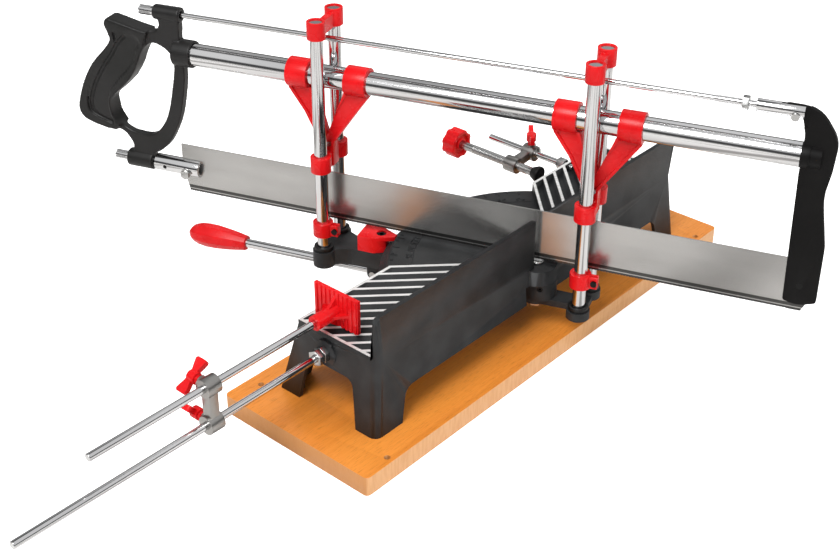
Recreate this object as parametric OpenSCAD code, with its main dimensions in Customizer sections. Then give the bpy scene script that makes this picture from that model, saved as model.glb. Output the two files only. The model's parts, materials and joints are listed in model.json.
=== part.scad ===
// Manual mitre saw on a wooden board.
// Origin: on the swivel axis at the underside of the board. +Z is up.
// +X runs along the fence to the length stop, +Y points from the operator to the fence side.
// Saw pieces are drawn in the saw's own frame: its +Y runs along the blade, and
// the whole saw is turned by saw_angle about the swivel axis.

/* [Board] */
// Length of the board along the fence
board_length = 486; // [460:1:560]
// Depth of the board in front of the swivel axis
board_front = 119.7; // [112:0.1:150]
// Depth of the board behind the swivel axis
board_back = 33.8; // [24:0.1:60]
// Thickness of the board
board_thickness = 16.7; // [12:0.1:24]
// Diameter of the fixing holes in the board corners
fixing_hole_d = 5; // [4:0.1:6]
// Distance of the fixing holes from the board ends
fixing_inset_x = 28; // [24:1:34]
// Distance of the front fixing holes from the front edge
fixing_inset_front = 12; // [10:1:16]
// Distance of the back fixing holes from the back edge
fixing_inset_back = 6; // [5:1:12]

/* [Table] */
// Half of the table's length at its top
table_half_length = 199.3; // [180:0.1:215]
// Depth of the table top in front of the fence
table_depth = 77.9; // [70:0.1:90]
// Height of the table top above the board
table_height = 67.7; // [64:0.1:74]
// Height of the fence above the table top
fence_height = 35.6; // [20:0.1:42]
// Thickness of the fence
fence_thickness = 4; // [3:0.1:5]
// Gap between the two halves of the fence
fence_gap = 19.8; // [16:0.1:24]
// Wall thickness of the casting
table_wall = 3.2; // [2.4:0.1:4.5]
// Outward draft of the end walls over their height
end_draft = 7.7; // [3:0.1:10]
// Outward draft of the front wall over its height
front_draft = 15; // [8:0.1:18]
// Outward draft of the fence wall over its height
back_draft = 5.2; // [2:0.1:5.2]
// Pitch of the ribs in the table top
rib_pitch = 10.6; // [8:0.1:14]
// Width of a rib
rib_width = 2.6; // [1.8:0.1:4]
// Depth of the pockets between the ribs
pocket_depth = 7; // [4:0.1:9]
// Distance along the fence line from the axis to the diagonal edge
diagonal_start = 18; // [17.5:0.1:24]

/* [Dial] */
// Radius of the dial plate
dial_radius = 124.2; // [112:0.1:128]
// Drop of the dial face below the table top
dial_drop = 8.9; // [7:0.1:10]
// Thickness of the dial plate
dial_thickness = 5; // [4:0.1:6]
// Width of the notched rim outside the dial plate
rim_width = 7.3; // [5:0.1:9]
// Diameter of a detent notch
notch_d = 5; // [3:0.1:6]
// Diameter of the swivel bolt
swivel_bolt_d = 8; // [6:0.1:9]

/* [Swivel arm] */
// Turn of the saw from square across the table, as it stands
saw_angle = 20.2; // [-20:0.1:24]
// Half width of the front arm
arm_half_width = 11; // [8:0.1:11.5]
// Height of the front arm above the board
arm_bottom = 26.6; // [25:0.1:31]
// Thickness of the front arm
arm_thickness = 15.2; // [8:0.1:15.4]
// Thickness of the rear arm
rear_arm_thickness = 6; // [4:0.1:7]
// Distance from the dial's rim to the front posts
post_beyond_rim = 54.9; // [50:0.1:64]
// Distance from the axis to the rear posts
rear_reach = 41.6; // [41.4:0.1:48]
// Spacing of the two posts of a pair
post_spacing = 34.6; // [33.5:0.1:38]
// Radius of a post boss
boss_radius = 9.7; // [8.6:0.1:10.2]

/* [Posts] */
// Diameter of a post
post_d = 10.9; // [10:0.1:11.5]
// Bore of a post, which runs on its inner rod
post_bore_d = 8.1; // [7:0.1:8.6]
// Height of the cap tops above the tension rod
cap_rise = 20.4; // [18.5:0.1:30]
// Diameter of a yoke cap
cap_d = 15.3; // [14.6:0.1:17]
// Height of a yoke cap
cap_height = 14.8; // [12:0.1:15.8]
// Height of a depth stop
depth_stop_height = 12.4; // [10:0.1:18]
// Diameter of a depth stop
depth_stop_d = 17.4; // [16:0.1:19]

/* [Carriers] */
// Outer diameter of a carrier ring on the tube
ring_d = 25; // [23.5:0.1:27]
// Length of a carrier ring along the tube
ring_length = 18.6; // [14:0.1:22]
// Distance between the inner faces of a carrier's two rings
ring_gap = 33.2; // [28:0.1:38]
// Height of a carrier's collars on the posts
collar_height = 13.6; // [10:0.1:16]
// Width of a carrier arm
carrier_arm_width = 8; // [6:0.1:10]

/* [Saw frame] */
// Diameter of the frame tube
tube_d = 19.4; // [18:0.1:20]
// Wall of the frame tube
tube_wall = 1.5; // [1:0.1:2.5]
// Height of the tube axis above the board
tube_height = 195.9; // [192:0.1:198]
// Diameter of the tension rod
tension_rod_d = 4.6; // [4:0.1:5]
// Height of the tension rod above the tube axis
rod_rise = 34; // [32:0.1:34.2]
// Length of the thread on the tension rod
thread_length = 34; // [20:1:44]
// Thickness of the end plate
end_plate_thickness = 5; // [4:0.1:8]
// Thickness of the handle's grip
handle_thickness = 18; // [15:0.1:22]
// Thickness of the handle's flat frame
handle_frame_thickness = 8; // [6:0.1:10]
// Reach of the handle in front of the tube's socket
handle_reach = 120; // [100:1:130]

/* [Blade] */
// Length of the blade
blade_length = 550; // [500:1:600]
// Distance from the swivel axis to the blade's front end
blade_overhang = 330.4; // [320:0.1:345]
// Height of the blade
blade_height = 45.5; // [44:0.1:46]
// Thickness of the blade
blade_thickness = 1; // [0.8:0.1:1.4]
// Depth of the blade's teeth below the table top
cut_depth = 5.2; // [4.6:0.1:5.4]
// Pitch of the saw teeth
tooth_pitch = 2.4; // [2.2:0.1:6]

/* [Lever] */
// Diameter of the lever rod
lever_d = 8.1; // [7:0.1:8.6]
// Height of the lever axis above the board
lever_height = 18.3; // [17:0.1:19]
// Length of the lever from its pin to the end of the grip
lever_length = 184.7; // [150:0.1:200]
// Length of the grip
grip_length = 58.2; // [44:0.1:70]
// Largest diameter of the grip
grip_d = 22.4; // [18:0.1:24]

/* [Length stop] */
// Diameter of the two stop rods
stop_rod_d = 6; // [5:0.1:7]
// Length of the lower stop rod outside the table
stop_rod_length = 279; // [200:1:320]
// Length of the upper stop rod
slide_rod_length = 230; // [180:1:260]
// Height of the lower stop rod above the board
stop_rod_height = 51.3; // [49:0.1:53]
// Distance between the two stop rods
stop_rod_spacing = 31.5; // [30:0.1:36]
// Distance of the stop rods from the fence face
stop_rod_inset = 48; // [40:0.1:56]
// Distance of the stop bracket from the table end
stop_bracket_out = 114; // [60:1:130]
// Width of the stop plate along the table end
stop_plate_width = 45; // [36:0.1:50]
// Height of the stop plate
stop_plate_height = 29; // [24:0.1:29]

/* [Work clamp] */
// Distance of the clamp rod from the table end
clamp_rod_inset = 49.3; // [34:0.1:56]
// Length of the clamp rod
clamp_rod_length = 92; // [84:1:100]
// Height of the clamp rod above the board
clamp_rod_height = 63.3; // [62:0.1:64]
// Distance from the clamp rod to the spindle
clamp_reach = 27.6; // [26:0.1:32]
// Diameter of the clamp spindle
spindle_d = 8; // [7:0.1:9]
// Diameter of the clamp knob
knob_d = 28; // [24:0.1:32]
// Diameter of the clamp pad
pad_d = 15; // [12:0.1:17]

/* [Hidden] */
$fn = 64;

// Number of steps in a rounded corner and between two points of a curve
corner_steps = 5;
curve_steps = 3;

// Clearances and the overrun of every cut
running_fit = 0.05;
seat_gap = 0.3;
overrun = 1;
edge_soft = 1.2;

// Heights, all from the underside of the board
board_top = board_thickness;
table_top = board_top + table_height;
fence_top = table_top + fence_height;
dial_top = table_top - dial_drop;
dial_underside = dial_top - dial_thickness;
rim_bottom = dial_top - 2.7 * dial_thickness;
tooth_line = table_top - cut_depth;
blade_top = tooth_line + blade_height;
tube_axis = board_top + tube_height;
rod_axis = tube_axis + rod_rise;
cap_top = rod_axis + cap_rise;
lever_axis = board_top + lever_height;
arm_underside = board_top + arm_bottom;
arm_top = arm_underside + arm_thickness;
stop_axis = board_top + stop_rod_height;
slide_axis = stop_axis + stop_rod_spacing;
clamp_axis = board_top + clamp_rod_height;

// Table casting
straight_height = 3.9;
leg_width_x = 29.5;
leg_width_y = 20;
leg_lean = 7;
arch_height = 28.8;
end_arch_height = 40.3;
deck_thickness = pocket_depth + table_wall;
deck_underside = table_top - deck_thickness;
fence_round = 6;
long_arch_round = 10;
end_arch_round = 8;
foot_boss_d = 12;
foot_boss_height = 20;
foot_boss_inset = 9;
board_screw_d = 4;
board_screw_length = 26;
board_screw_head_d = 8;
board_screw_head = 3;
hub_ring = 17;
rim_radius = dial_radius + rim_width;
rim_lip = 3.2;
rim_drop = 5.5;
detent_angles = [0, 22.5, 30, 36, 45];
bolt_head_d = 11;
bolt_head_height = 2.6;
swivel_nut_height = 5;
end_boss_d = 22;

// Swivel arm
hub_top = rim_bottom - seat_gap;
drum_radius = 13;
drum_offset = 5;
hub_radius = 11;
arm_clearance = 4;
hub_sweep = drum_radius + drum_offset + arm_clearance;
front_reach = rim_radius + post_beyond_rim;
rear_arm_bottom = 24.3;
rear_arm_underside = board_top + rear_arm_bottom;
rear_arm_top = rear_arm_underside + rear_arm_thickness;
rear_arm_half_width = 8.5;
front_boss_step = 1;
front_boss_bottom = arm_underside - 2 * seat_gap;
front_boss_top = arm_top - front_boss_step;
rear_boss_rise = 1.5;
rear_boss_height = 7.5;
rear_boss_bottom = rear_arm_underside + rear_boss_rise;
rear_boss_top = rear_boss_bottom + rear_boss_height;
flare_length = 12;
ring_radius = 8.4;
ring_rise = 4;
ring_seat = 1.5;
lug_thickness = 3.2;
lug_beyond_rim = 13.5;
lug_place = rim_radius + lug_beyond_rim;
lug_radius = 5.5;
pin_radius = 1.8;
pin_head_radius = 3;
pin_head_height = 2;
arm_slot_length = 14;
pointer_body_gap = 11.5;
pointer_body_length = 14.5;
pointer_body_front = rim_radius + pointer_body_gap;
pointer_body_back = pointer_body_front + pointer_body_length;
pointer_nose = rim_radius + edge_soft + 2 * seat_gap;
pointer_tip_reach = dial_radius + edge_soft + 2 * seat_gap;
pointer_height = 15.2;
pointer_tip_thickness = 4;
pointer_screw_gap = 8;
pointer_screw_place = rim_radius + pointer_screw_gap;
pointer_screw_r = 1.5;
pointer_socket_r = 4.3;
pointer_head_r = 3.7;
pointer_head_depth = 4.2;
pointer_head_height = 3.4;
pointer_hex = 3.6;
pointer_hex_depth = 2.4;
pointer_tip_half_width = 2.2;
hub_screw_r = 2.6;
hub_screw_length = 5;
hub_screw_turn = -80;
hub_screw_drop = 4.2;

// Posts and yokes
inner_rod_radius = post_bore_d / 2 - running_fit;
inner_rod_gap = 67.3;
inner_rod_top = cap_top - inner_rod_gap;
plug_height = 6;
cap_recess = 1;
web_thickness = 6;
web_height = 12;
stop_above_ring = 10.9;
depth_stop_base = front_boss_top + ring_rise + stop_above_ring;
ear_length = 14.6;
ear_thickness = 6.4;
ear_height = 10;
stop_screw_r = 1.6;
stop_screw_head_r = 2.6;
stop_screw_head = 1.6;

// Carriers
collar_gap = 8.9;
collar_bottom = blade_top + collar_gap;
carrier_height = tube_axis - collar_bottom;
collar_radius = depth_stop_d / 2;
ring_shift = 2.4;
fork_share = 0.66;
neck_share = 0.735;
elbow_share = 0.405;
elbow_reach = 21.5;
ring_root = 3;
flange_thickness = 3;
flange_rise = 1.4;
carrier_screw_r = 2.4;
carrier_screw_height = 1.6;
carrier_screw_rise = 20.6;
bar_half_depth = 5;

// Saw frame: places along the saw are set from the ends of the blade
blade_front = -blade_overhang;
blade_rear = blade_front + blade_length;
tube_front_gap = 10.4;
tube_rear_gap = 23.6;
tube_front = blade_front + tube_front_gap;
tube_rear = blade_rear - tube_rear_gap;
rod_front_gap = 18;
rod_front = tube_front - rod_front_gap;
rod_thread_rise = 0.2;
rod_thread_r = tension_rod_d / 2 + rod_thread_rise;
clevis_length = 34.7;
clevis_rear_gap = 1.8;
clevis_rear = tube_rear - clevis_rear_gap;
clevis_front = clevis_rear - clevis_length;
clevis_r = 4.9;
clevis_pin_gap = 6;
clevis_pin_place = clevis_rear - clevis_pin_gap;
clevis_pin_drop = 2.8;
nut_gap = 5.5;
nut_length = 5;
nut_rear = clevis_front - nut_gap;
nut_front = nut_rear - nut_length;
nut_flats = 10;
thread_seat = 6;
thread_end = clevis_front + thread_seat;
plug_step = 5;
plug_ring = 6.5;
plug_length = 15;
plug_share = 0.85;
tongue_drop = 11;
plate_low = 85;
plate_width = 28.7;
plate_rise = 5.4;
blade_pin_r = 2.5;
blade_pin_inset = 9;
blade_slot_depth = 30;
carrier_r = 7.5;
carrier_front_gap = 25.6;
carrier_length = 43.7;
carrier_front = blade_front - carrier_front_gap;
carrier_rear = carrier_front + carrier_length;
blade_screw_drop = 22.2;
blade_screw_axis = blade_top - blade_screw_drop;
blade_bolt_gap = 6.8;
blade_bolt_place = blade_front + blade_bolt_gap;
blade_bolt_drop = 3;
blade_bolt_washer = 1;
blade_end_pin_gap = 10.8;
blade_end_pin_drop = 0.5;
pull_rod_r = 4;
screw_r = 4.2;
screw_head_length = 14.2;
handle_boss_length = 24.8;
handle_boss_front_gap = 23.8;
handle_boss_front = tube_front - handle_boss_front_gap;
handle_boss_rear = handle_boss_front + handle_boss_length;
handle_screw_front = handle_boss_front - screw_head_length;
handle_boss_r = 6.5;
lower_boss_gap = 3;
lower_boss_length = 25;
lower_boss_rear = carrier_front - lower_boss_gap;
lower_boss_front = lower_boss_rear - lower_boss_length;
lower_boss_r = 8.2;
blade_screw_front = lower_boss_front - screw_head_length;
pull_rod_seat = 20;
socket_r = 11.8;
socket_length = 17.5;
socket_reach = 10.8;
socket_rear = tube_front + socket_reach;
socket_front = socket_rear - socket_length;
handle_groove_depth = 2.4;
handle_groove = 2;
handle_spans = [-handle_reach, rod_axis - blade_screw_axis];
flute_count = 6;

// Curves of the handle: shares of its reach and of the height between its two screws
handle_shares = [
    [0.251, 0.996], [0.253, 0.926], [0.288, 0.892], [0.353, 0.885], [0.481, 0.904], [0.63, 0.931],
    [0.668, 0.928], [0.685, 0.9], [0.677, 0.865], [0.647, 0.815], [0.657, 0.781], [0.712, 0.724],
    [0.818, 0.627], [0.907, 0.502], [0.964, 0.379], [0.981, 0.305], [0.953, 0.254], [0.883, 0.225],
    [0.763, 0.203], [0.668, 0.188], [0.6, 0.149], [0.569, 0.097], [0.565, 0.01], [0.423, 0.003],
    [0.407, 0.058], [0.338, 0.091], [0.258, 0.155], [0.186, 0.263], [0.138, 0.366], [0.106, 0.484],
    [0.083, 0.6], [0.082, 0.69], [0.103, 0.802], [0.103, 0.996]
];
opening_shares = [
    [0.389, 0.76], [0.356, 0.792], [0.302, 0.804], [0.234, 0.788], [0.181, 0.75], [0.158, 0.697],
    [0.168, 0.623], [0.201, 0.489], [0.239, 0.37], [0.285, 0.287], [0.351, 0.219], [0.411, 0.191],
    [0.489, 0.185], [0.585, 0.201], [0.653, 0.237], [0.697, 0.299], [0.712, 0.365], [0.701, 0.407],
    [0.659, 0.442], [0.592, 0.491], [0.522, 0.554], [0.464, 0.627], [0.427, 0.696]
];
panel_shares = [
    [0.619, 0.852], [0.559, 0.84], [0.436, 0.819], [0.419, 0.777], [0.465, 0.69], [0.515, 0.611],
    [0.579, 0.544], [0.657, 0.491], [0.718, 0.444], [0.746, 0.387], [0.738, 0.314], [0.731, 0.26],
    [0.753, 0.249], [0.822, 0.266], [0.894, 0.304], [0.897, 0.388], [0.847, 0.509], [0.762, 0.632],
    [0.639, 0.743], [0.61, 0.798]
];

// Bounds of the handle's thick grip: the same shares, and each corner's rounding
grip_shares = [
    [0.333, 1.093, 0], [0.335, 0.878, 0.04], [0.373, 0.808, 0.06], [0.36, 0.68, 0], [0.46, 0.5, 0],
    [0.61, 0.33, 0], [0.625, 0.246, 0.04], [0.7, 0.177, 0.04], [0.76, 0.12, 0], [1.13, 0.12, 0], [1.13, 1.093, 0]
];

// Outline of the end plate: shares of its width and height, and each rounding
plate_shares = [
    [-0.61, 1, 0.139], [0.296, 0.999, 0.836], [0.895, 0.856, 0.906], [0.847, 0.707, 2.091],
    [0.728, 0.569, 2.091], [0.983, 0.317, 1.742], [1, 0.027, 0.087], [0.523, -0.001, 1.045],
    [0.118, 0.016, 0.087], [0.014, 0.677, 0], [0.024, 0.868, 0.697], [-0.105, 0.947, 0.139],
    [-0.61, 0.947, 0.105]
];

// Lever
lever_pin_place = lug_place;
grip_end = -(lever_pin_place + lever_length);
grip_inner_d = 14.5;
grip_start = grip_end + grip_length;

// Length stop
stop_y = -stop_rod_inset;
stop_rod_seat = 5;
stop_nut_flats = 12;
stop_nut_height = 5;
nut_washer_gap = 0.6;
stop_nut_start = 2.4;
bracket_x = table_half_length + stop_bracket_out;
bracket_ring_d = 14.6;
bracket_length = 12;
bracket_web = 8;
wing_stem_r = 3;
wing_stem = 9;
wing_head_r = 4.6;
wing_head_height = 7;
wing_span = 28;
wing_thickness = 4.4;
wing_height = 11;
wing_round = 2;
upper_wing_turn = 143;
lower_wing_turn = 47;
stop_plate_inset = 14.3;
stop_plate_x = table_half_length - stop_plate_inset;
stop_plate_thickness = 3;
stop_plate_gap = 2.9;
stop_plate_low = table_top + stop_plate_gap;
stop_hub_d = 12;
stop_hub_length = 23;
stop_rib_count = 10;
stop_rib_depth = 0.9;
stop_gusset_half = 1.2;
slide_rod_seat = 1;
slide_rod_start = stop_plate_x + slide_rod_seat;

// Work clamp
clamp_rod_x = table_half_length - clamp_rod_inset;
clamp_y = -(table_depth + clamp_rod_length);
clamp_bracket_gap = 43.1;
clamp_bracket_y = -table_depth - clamp_bracket_gap;
clamp_ring_d = 15;
clamp_ring_length = 13;
clamp_arm_thickness = 8;
clamp_nut_gap = 2.2;
clamp_nut_height = 8;
clamp_nut_y = -table_depth - clamp_nut_gap - clamp_nut_height;
clamp_nut_flats = 10;
clamp_wing_turn = 41;
clamp_drop = 2.5;
spindle_x = -clamp_rod_x + sqrt(clamp_reach * clamp_reach - clamp_drop * clamp_drop);
spindle_axis = clamp_axis - clamp_drop;
pad_gap = 11.1;
pad_face = -table_depth - pad_gap;
pad_thickness = 3;
pad_neck = 6;
pad_neck_r = 5;
knob_gap = 112.1;
knob_y = -table_depth - knob_gap;
knob_length = 14;
knob_lobes = 8;
knob_scallop_r = 9;
knob_scallop_depth = 1.3;
knob_dish_depth = 2.4;
knob_rim = 4;
knob_hub_rim = 1.6;

// Shared shapes

// Turns saw pieces to the saw's angle
module saw() {
    rotate([0, 0, saw_angle]) children();
}

// Round bar along Y between two places
module bar_y(r, from, to) {
    translate([0, from, 0]) rotate([-90, 0, 0]) cylinder(r = r, h = to - from);
}

// Round bar along X between two places
module bar_x(r, from, to) {
    translate([from, 0, 0]) rotate([0, 90, 0]) cylinder(r = r, h = to - from);
}

// Hexagonal bar along Y, sized across its flats
module hex_y(flats, from, to) {
    translate([0, from, 0]) rotate([-90, 0, 0])
        cylinder(d = flats / cos(30), h = to - from, $fn = 6);
}

// Hexagonal bar along X, sized across its flats
module hex_x(flats, from, to) {
    translate([from, 0, 0]) rotate([0, 90, 0])
        cylinder(d = flats / cos(30), h = to - from, $fn = 6);
}

// Outline given in (y, z), extruded along X between two places
module slab_yz(from, to) {
    translate([from, 0, 0]) rotate([90, 0, 90]) linear_extrude(to - from) children();
}

// Outline given in (x, z), extruded along Y between two places
module slab_xz(from, to) {
    translate([0, to, 0]) rotate([90, 0, 0]) linear_extrude(to - from) children();
}

// Point on an arc round a centre, at a share of the way from one end to the other
function arc_point(centre, from, to, share) =
    let (
        first = atan2(from.y - centre.y, from.x - centre.x),
        last = atan2(to.y - centre.y, to.x - centre.x),
        sweep = last - first - 360 * round((last - first) / 360)
    )
    centre + norm(from - centre) * [cos(first + share * sweep), sin(first + share * sweep)];

// Outline whose corners are rounded, each with its own radius
function rounded(points, radii) = [
    for (i = [0 : len(points) - 1])
        let (
            corner = points[i],
            back = points[(i + len(points) - 1) % len(points)] - corner,
            ahead = points[(i + 1) % len(points)] - corner,
            a = back / norm(back),
            b = ahead / norm(ahead),
            half = acos(a * b) / 2,
            room = min(norm(back), norm(ahead)) * 0.49,
            run = min(radii[i] / tan(half), room),
            centre = corner + (a + b) / norm(a + b) * run / cos(half)
        )
        for (step = [0 : radii[i] > 0 ? corner_steps : 0])
            radii[i] > 0 ? arc_point(centre, corner + a * run, corner + b * run, step / corner_steps) : corner
];

// Closed curve that runs smoothly through points
function curve(points) = [
    for (i = [0 : len(points) - 1])
        let (
            count = len(points),
            before = points[(i + count - 1) % count],
            from = points[i],
            to = points[(i + 1) % count],
            after = points[(i + 2) % count]
        )
        for (step = [0 : curve_steps - 1])
            let (t = step / curve_steps)
            from + (to - before) / 2 * t + (before - 5 / 2 * from + 2 * to - after / 2) * t * t
                + (3 / 2 * (from - to) + (after - before) / 2) * t * t * t
];

// Curved outline from rows of shares: across and up
module curve_outline(rows, origin, spans) {
    polygon(curve([for (row = rows) [origin.x + row[0] * spans.x, origin.y + row[1] * spans.y]]));
}

// Rounded outline from rows of shares: across, up and corner radius
module share_outline(rows, origin, spans) {
    polygon(rounded(
        [for (row = rows) [origin.x + row[0] * spans.x, origin.y + row[1] * spans.y]],
        [for (row = rows) row[2] * abs(spans.x)]
    ));
}

// Box between two opposite corners
module block(low, high) {
    translate(low) cube(high - low);
}

// Both sides of the table
module both_sides() {
    children();
    mirror([1, 0, 0]) children();
}

// Places of a pair of posts at a given reach along the saw
module post_pair(reach) {
    for (side = [-1, 1]) translate([side * post_spacing / 2, reach, 0]) children();
}

// All four posts
module all_posts() {
    post_pair(-front_reach) children();
    post_pair(rear_reach) children();
}

// Bright screw along +Y with a fluted head between two places
module fluted_head(r, from, to) {
    difference() {
        bar_y(r, from, to);
        for (turn = [0 : flute_count - 1]) rotate([0, turn * 360 / flute_count, 0])
            translate([r, 0, 0]) bar_y(r / 4, from - overrun, from + (to - from) * 0.8);
    }
}

// Wing screw standing along +Z on the origin
module wing_screw(stem) {
    half = wing_span / 2;
    waist = wing_span / 6;
    cylinder(r = wing_stem_r, h = stem + overrun);
    translate([0, 0, stem]) cylinder(r = wing_head_r, h = wing_head_height);
    translate([0, 0, stem]) rotate([90, 0, 0]) translate([0, 0, -wing_thickness / 2])
        linear_extrude(wing_thickness) polygon(rounded([
            [-half, 0], [-waist, wing_height / 5], [waist, wing_height / 5], [half, 0],
            [half, wing_height], [waist, wing_height * 0.7], [-waist, wing_height * 0.7], [-half, wing_height]
        ], wing_round * [1, 1, 1, 1, 1, 1, 1, 1]));
}

// Board and table

module base_board() {
    color("peru") difference() {
        block([-board_length / 2, -board_front, 0], [board_length / 2, board_back, board_top]);
        for (side = [-1, 1]) for (y = [-board_front + fixing_inset_front, board_back - fixing_inset_back])
            translate([side * (board_length / 2 - fixing_inset_x), y, -overrun])
                cylinder(d = fixing_hole_d, h = board_top + 2 * overrun);
        foot_places() {
            translate([0, 0, -overrun]) cylinder(d = board_screw_d, h = board_top + 2 * overrun);
            translate([0, 0, -overrun])
                cylinder(d = board_screw_head_d + 2 * seat_gap, h = board_screw_head + seat_gap + overrun);
        }
    }
}

// Places of the screws under the four legs
module foot_places() {
    for (side = [-1, 1]) for (y = [-table_depth - front_draft, back_draft + fence_thickness])
        translate([
            side * (table_half_length + end_draft - foot_boss_inset),
            y + sign(-y) * foot_boss_inset,
            0
        ]) children();
}

module board_screws() {
    color("silver") foot_places() {
        translate([0, 0, seat_gap]) cylinder(d = board_screw_head_d, h = board_screw_head);
        translate([0, 0, board_screw_head]) cylinder(d = board_screw_d, h = board_screw_length);
    }
}

// Drafted outer or inner block of the right half of the table
module table_block(inset, top, bottom) {
    end = table_half_length - inset;
    front = -table_depth + inset;
    back = fence_thickness - inset;
    straight = table_top - straight_height;
    share = (straight - bottom) / (straight - board_top);
    intersection() {
        slab_xz(front - front_draft - overrun, back + back_draft + overrun) polygon([
            [0, bottom], [end + end_draft * share, bottom], [end, straight], [end, top], [0, top]
        ]);
        slab_yz(0, end + end_draft + overrun) polygon([
            [front - front_draft * share, bottom], [back + back_draft * share, bottom],
            [back, straight], [back, top], [front, top], [front, straight]
        ]);
    }
}

// Plan of the right half: fence strip behind, diagonal edge in front
module half_plan(shift = 0) {
    run = table_depth + front_draft + overrun;
    start = diagonal_start + shift * sqrt(2);
    far = table_half_length + end_draft + overrun;
    polygon([
        [fence_gap / 2 + shift, fence_thickness + back_draft + overrun],
        [fence_gap / 2 + shift, 0], [start, 0], [start + run, -run], [far, -run],
        [far, fence_thickness + back_draft + overrun]
    ]);
}

// Arch under the fence wall and under the front wall, in (x, z)
module long_arch(height) {
    base = board_top - overrun;
    foot = table_half_length + end_draft - leg_width_x;
    polygon(rounded(
        [[0, base], [foot, base], [foot - leg_lean, board_top + height], [0, board_top + height]],
        [0, 0, long_arch_round, 0]
    ));
}

// Arch in the end wall, in (y, z)
module end_arch() {
    base = board_top - overrun;
    front = -table_depth - front_draft + leg_width_y;
    back = fence_thickness + back_draft - leg_width_y - edge_soft;
    polygon(rounded(
        [
            [front, base], [back, base],
            [back - leg_lean, board_top + end_arch_height], [front + leg_lean, board_top + end_arch_height]
        ],
        [0, 0, end_arch_round, end_arch_round]
    ));
}

// Pockets between the ribs of the right half, cut from the table top
module table_pockets() {
    first = diagonal_start / sqrt(2) + rib_width;
    count = ceil((table_half_length + table_depth) / sqrt(2) / rib_pitch);
    frame_inner_x = table_half_length - rib_width;
    frame_inner_y = table_depth - rib_width;
    translate([0, 0, table_top - pocket_depth]) linear_extrude(pocket_depth + overrun) intersection() {
        translate([0, -frame_inner_y]) square([frame_inner_x, frame_inner_y - rib_width / 2]);
        for (row = [0 : count]) rotate(-45)
            translate([-table_half_length, first + row * rib_pitch])
                square([3 * table_half_length, rib_pitch - rib_width]);
    }
}

module table_half() {
    difference() {
        union() {
            intersection() {
                union() {
                    difference() {
                        table_block(0, table_top, board_top);
                        translate([0, 0, -overrun])
                            table_block(table_wall, deck_underside + overrun, board_top);
                        slab_xz(-table_wall - edge_soft, fence_thickness + back_draft + overrun) long_arch(arch_height);
                        slab_xz(-table_depth - front_draft - overrun, -table_depth / 2) long_arch(end_arch_height);
                        slab_yz(table_half_length / 2, table_half_length + end_draft + overrun) end_arch();
                    }
                    diagonal_wall();
                    fence_plate();
                }
                linear_extrude(fence_top + overrun) half_plan();
            }
            end_boss();
            foot_bosses();
        }
        table_pockets();
        cylinder_between(hub_sweep, board_top, rim_bottom);
        translate([0, stop_y, stop_axis])
            bar_x(stop_rod_d / 2, table_half_length - 2 * stop_rod_seat, table_half_length + end_draft);
    }
}

// Wall under the diagonal edge, short enough for the arm to pass below
module diagonal_wall() {
    translate([0, 0, rim_bottom]) linear_extrude(table_top - rim_bottom) difference() {
        intersection() {
            half_plan();
            translate([0, -table_depth]) square([table_half_length - table_wall, table_depth]);
        }
        half_plan(table_wall);
    }
}

// Upright fence with a rounded outer corner
module fence_plate() {
    end = table_half_length;
    slab_xz(0, fence_thickness) {
        difference() {
            translate([0, deck_underside]) square([end, fence_top - deck_underside]);
            translate([end - fence_round, fence_top - fence_round])
                square([fence_round + overrun, fence_round + overrun]);
        }
        translate([end - fence_round, fence_top - fence_round]) circle(r = fence_round);
    }
}

// Half round thickening of the end wall round the stop rod
module end_boss() {
    reach = table_half_length + edge_soft;
    translate([0, stop_y, stop_axis])
        bar_x(end_boss_d / 2, table_half_length - table_wall, reach + edge_soft);
}

// Screw bosses in the legs
module foot_bosses() {
    intersection() {
        translate([0, 0, board_top]) foot_places() difference() {
            cylinder(d = foot_boss_d, h = foot_boss_height);
            translate([0, 0, -overrun]) cylinder(d = board_screw_d, h = foot_boss_height);
        }
        table_block(0, table_top, board_top);
    }
}

// Sector of the plan that holds the dial
module dial_plan() {
    run = rim_radius + overrun;
    start = diagonal_start + seat_gap;
    polygon([[-start, 0], [start, 0], [start + run, -run], [-start - run, -run]]);
}

module dial() {
    difference() {
        union() {
            intersection() {
                rotate_extrude($fn = 180) polygon([
                    [0, dial_underside], [dial_radius - rim_lip, dial_underside],
                    [dial_radius, rim_bottom], [rim_radius, rim_bottom],
                    [rim_radius, dial_top - rim_drop - rim_lip], [dial_radius + edge_soft, dial_top - rim_drop],
                    [dial_radius, dial_top - edge_soft / 2], [dial_radius - edge_soft / 2, dial_top],
                    [0, dial_top]
                ]);
                linear_extrude(fence_top) dial_plan();
            }
            translate([0, 0, rim_bottom]) cylinder(r = hub_ring, h = dial_top - rim_bottom);
        }
        for (angle = detent_angles) for (side = [-1, 1]) rotate([0, 0, side * angle])
            translate([0, -rim_radius, rim_bottom - overrun])
                cylinder(d = notch_d, h = dial_thickness + overrun);
    }
}

module table_casting() {
    color("#3a3a39") difference() {
        union() {
            both_sides() table_half();
            dial();
        }
        cylinder(d = swivel_bolt_d, h = fence_top);
        translate([-clamp_rod_x, 0, clamp_axis])
            bar_y(stop_rod_d / 2 + running_fit, -table_depth - table_wall, -table_depth + 2 * table_wall);
    }
}

module swivel_bolt() {
    nut_top = rear_arm_underside - seat_gap;
    color("silver") {
        translate([0, 0, nut_top - swivel_nut_height]) cylinder(d = swivel_bolt_d, h = dial_top - nut_top + swivel_nut_height);
        translate([0, 0, dial_top]) cylinder(d = bolt_head_d, h = bolt_head_height);
        translate([0, 0, nut_top - swivel_nut_height])
            cylinder(d = swivel_bolt_d * 1.8, h = swivel_nut_height, $fn = 6);
    }
}

// Swivel arm with its trim

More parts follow.
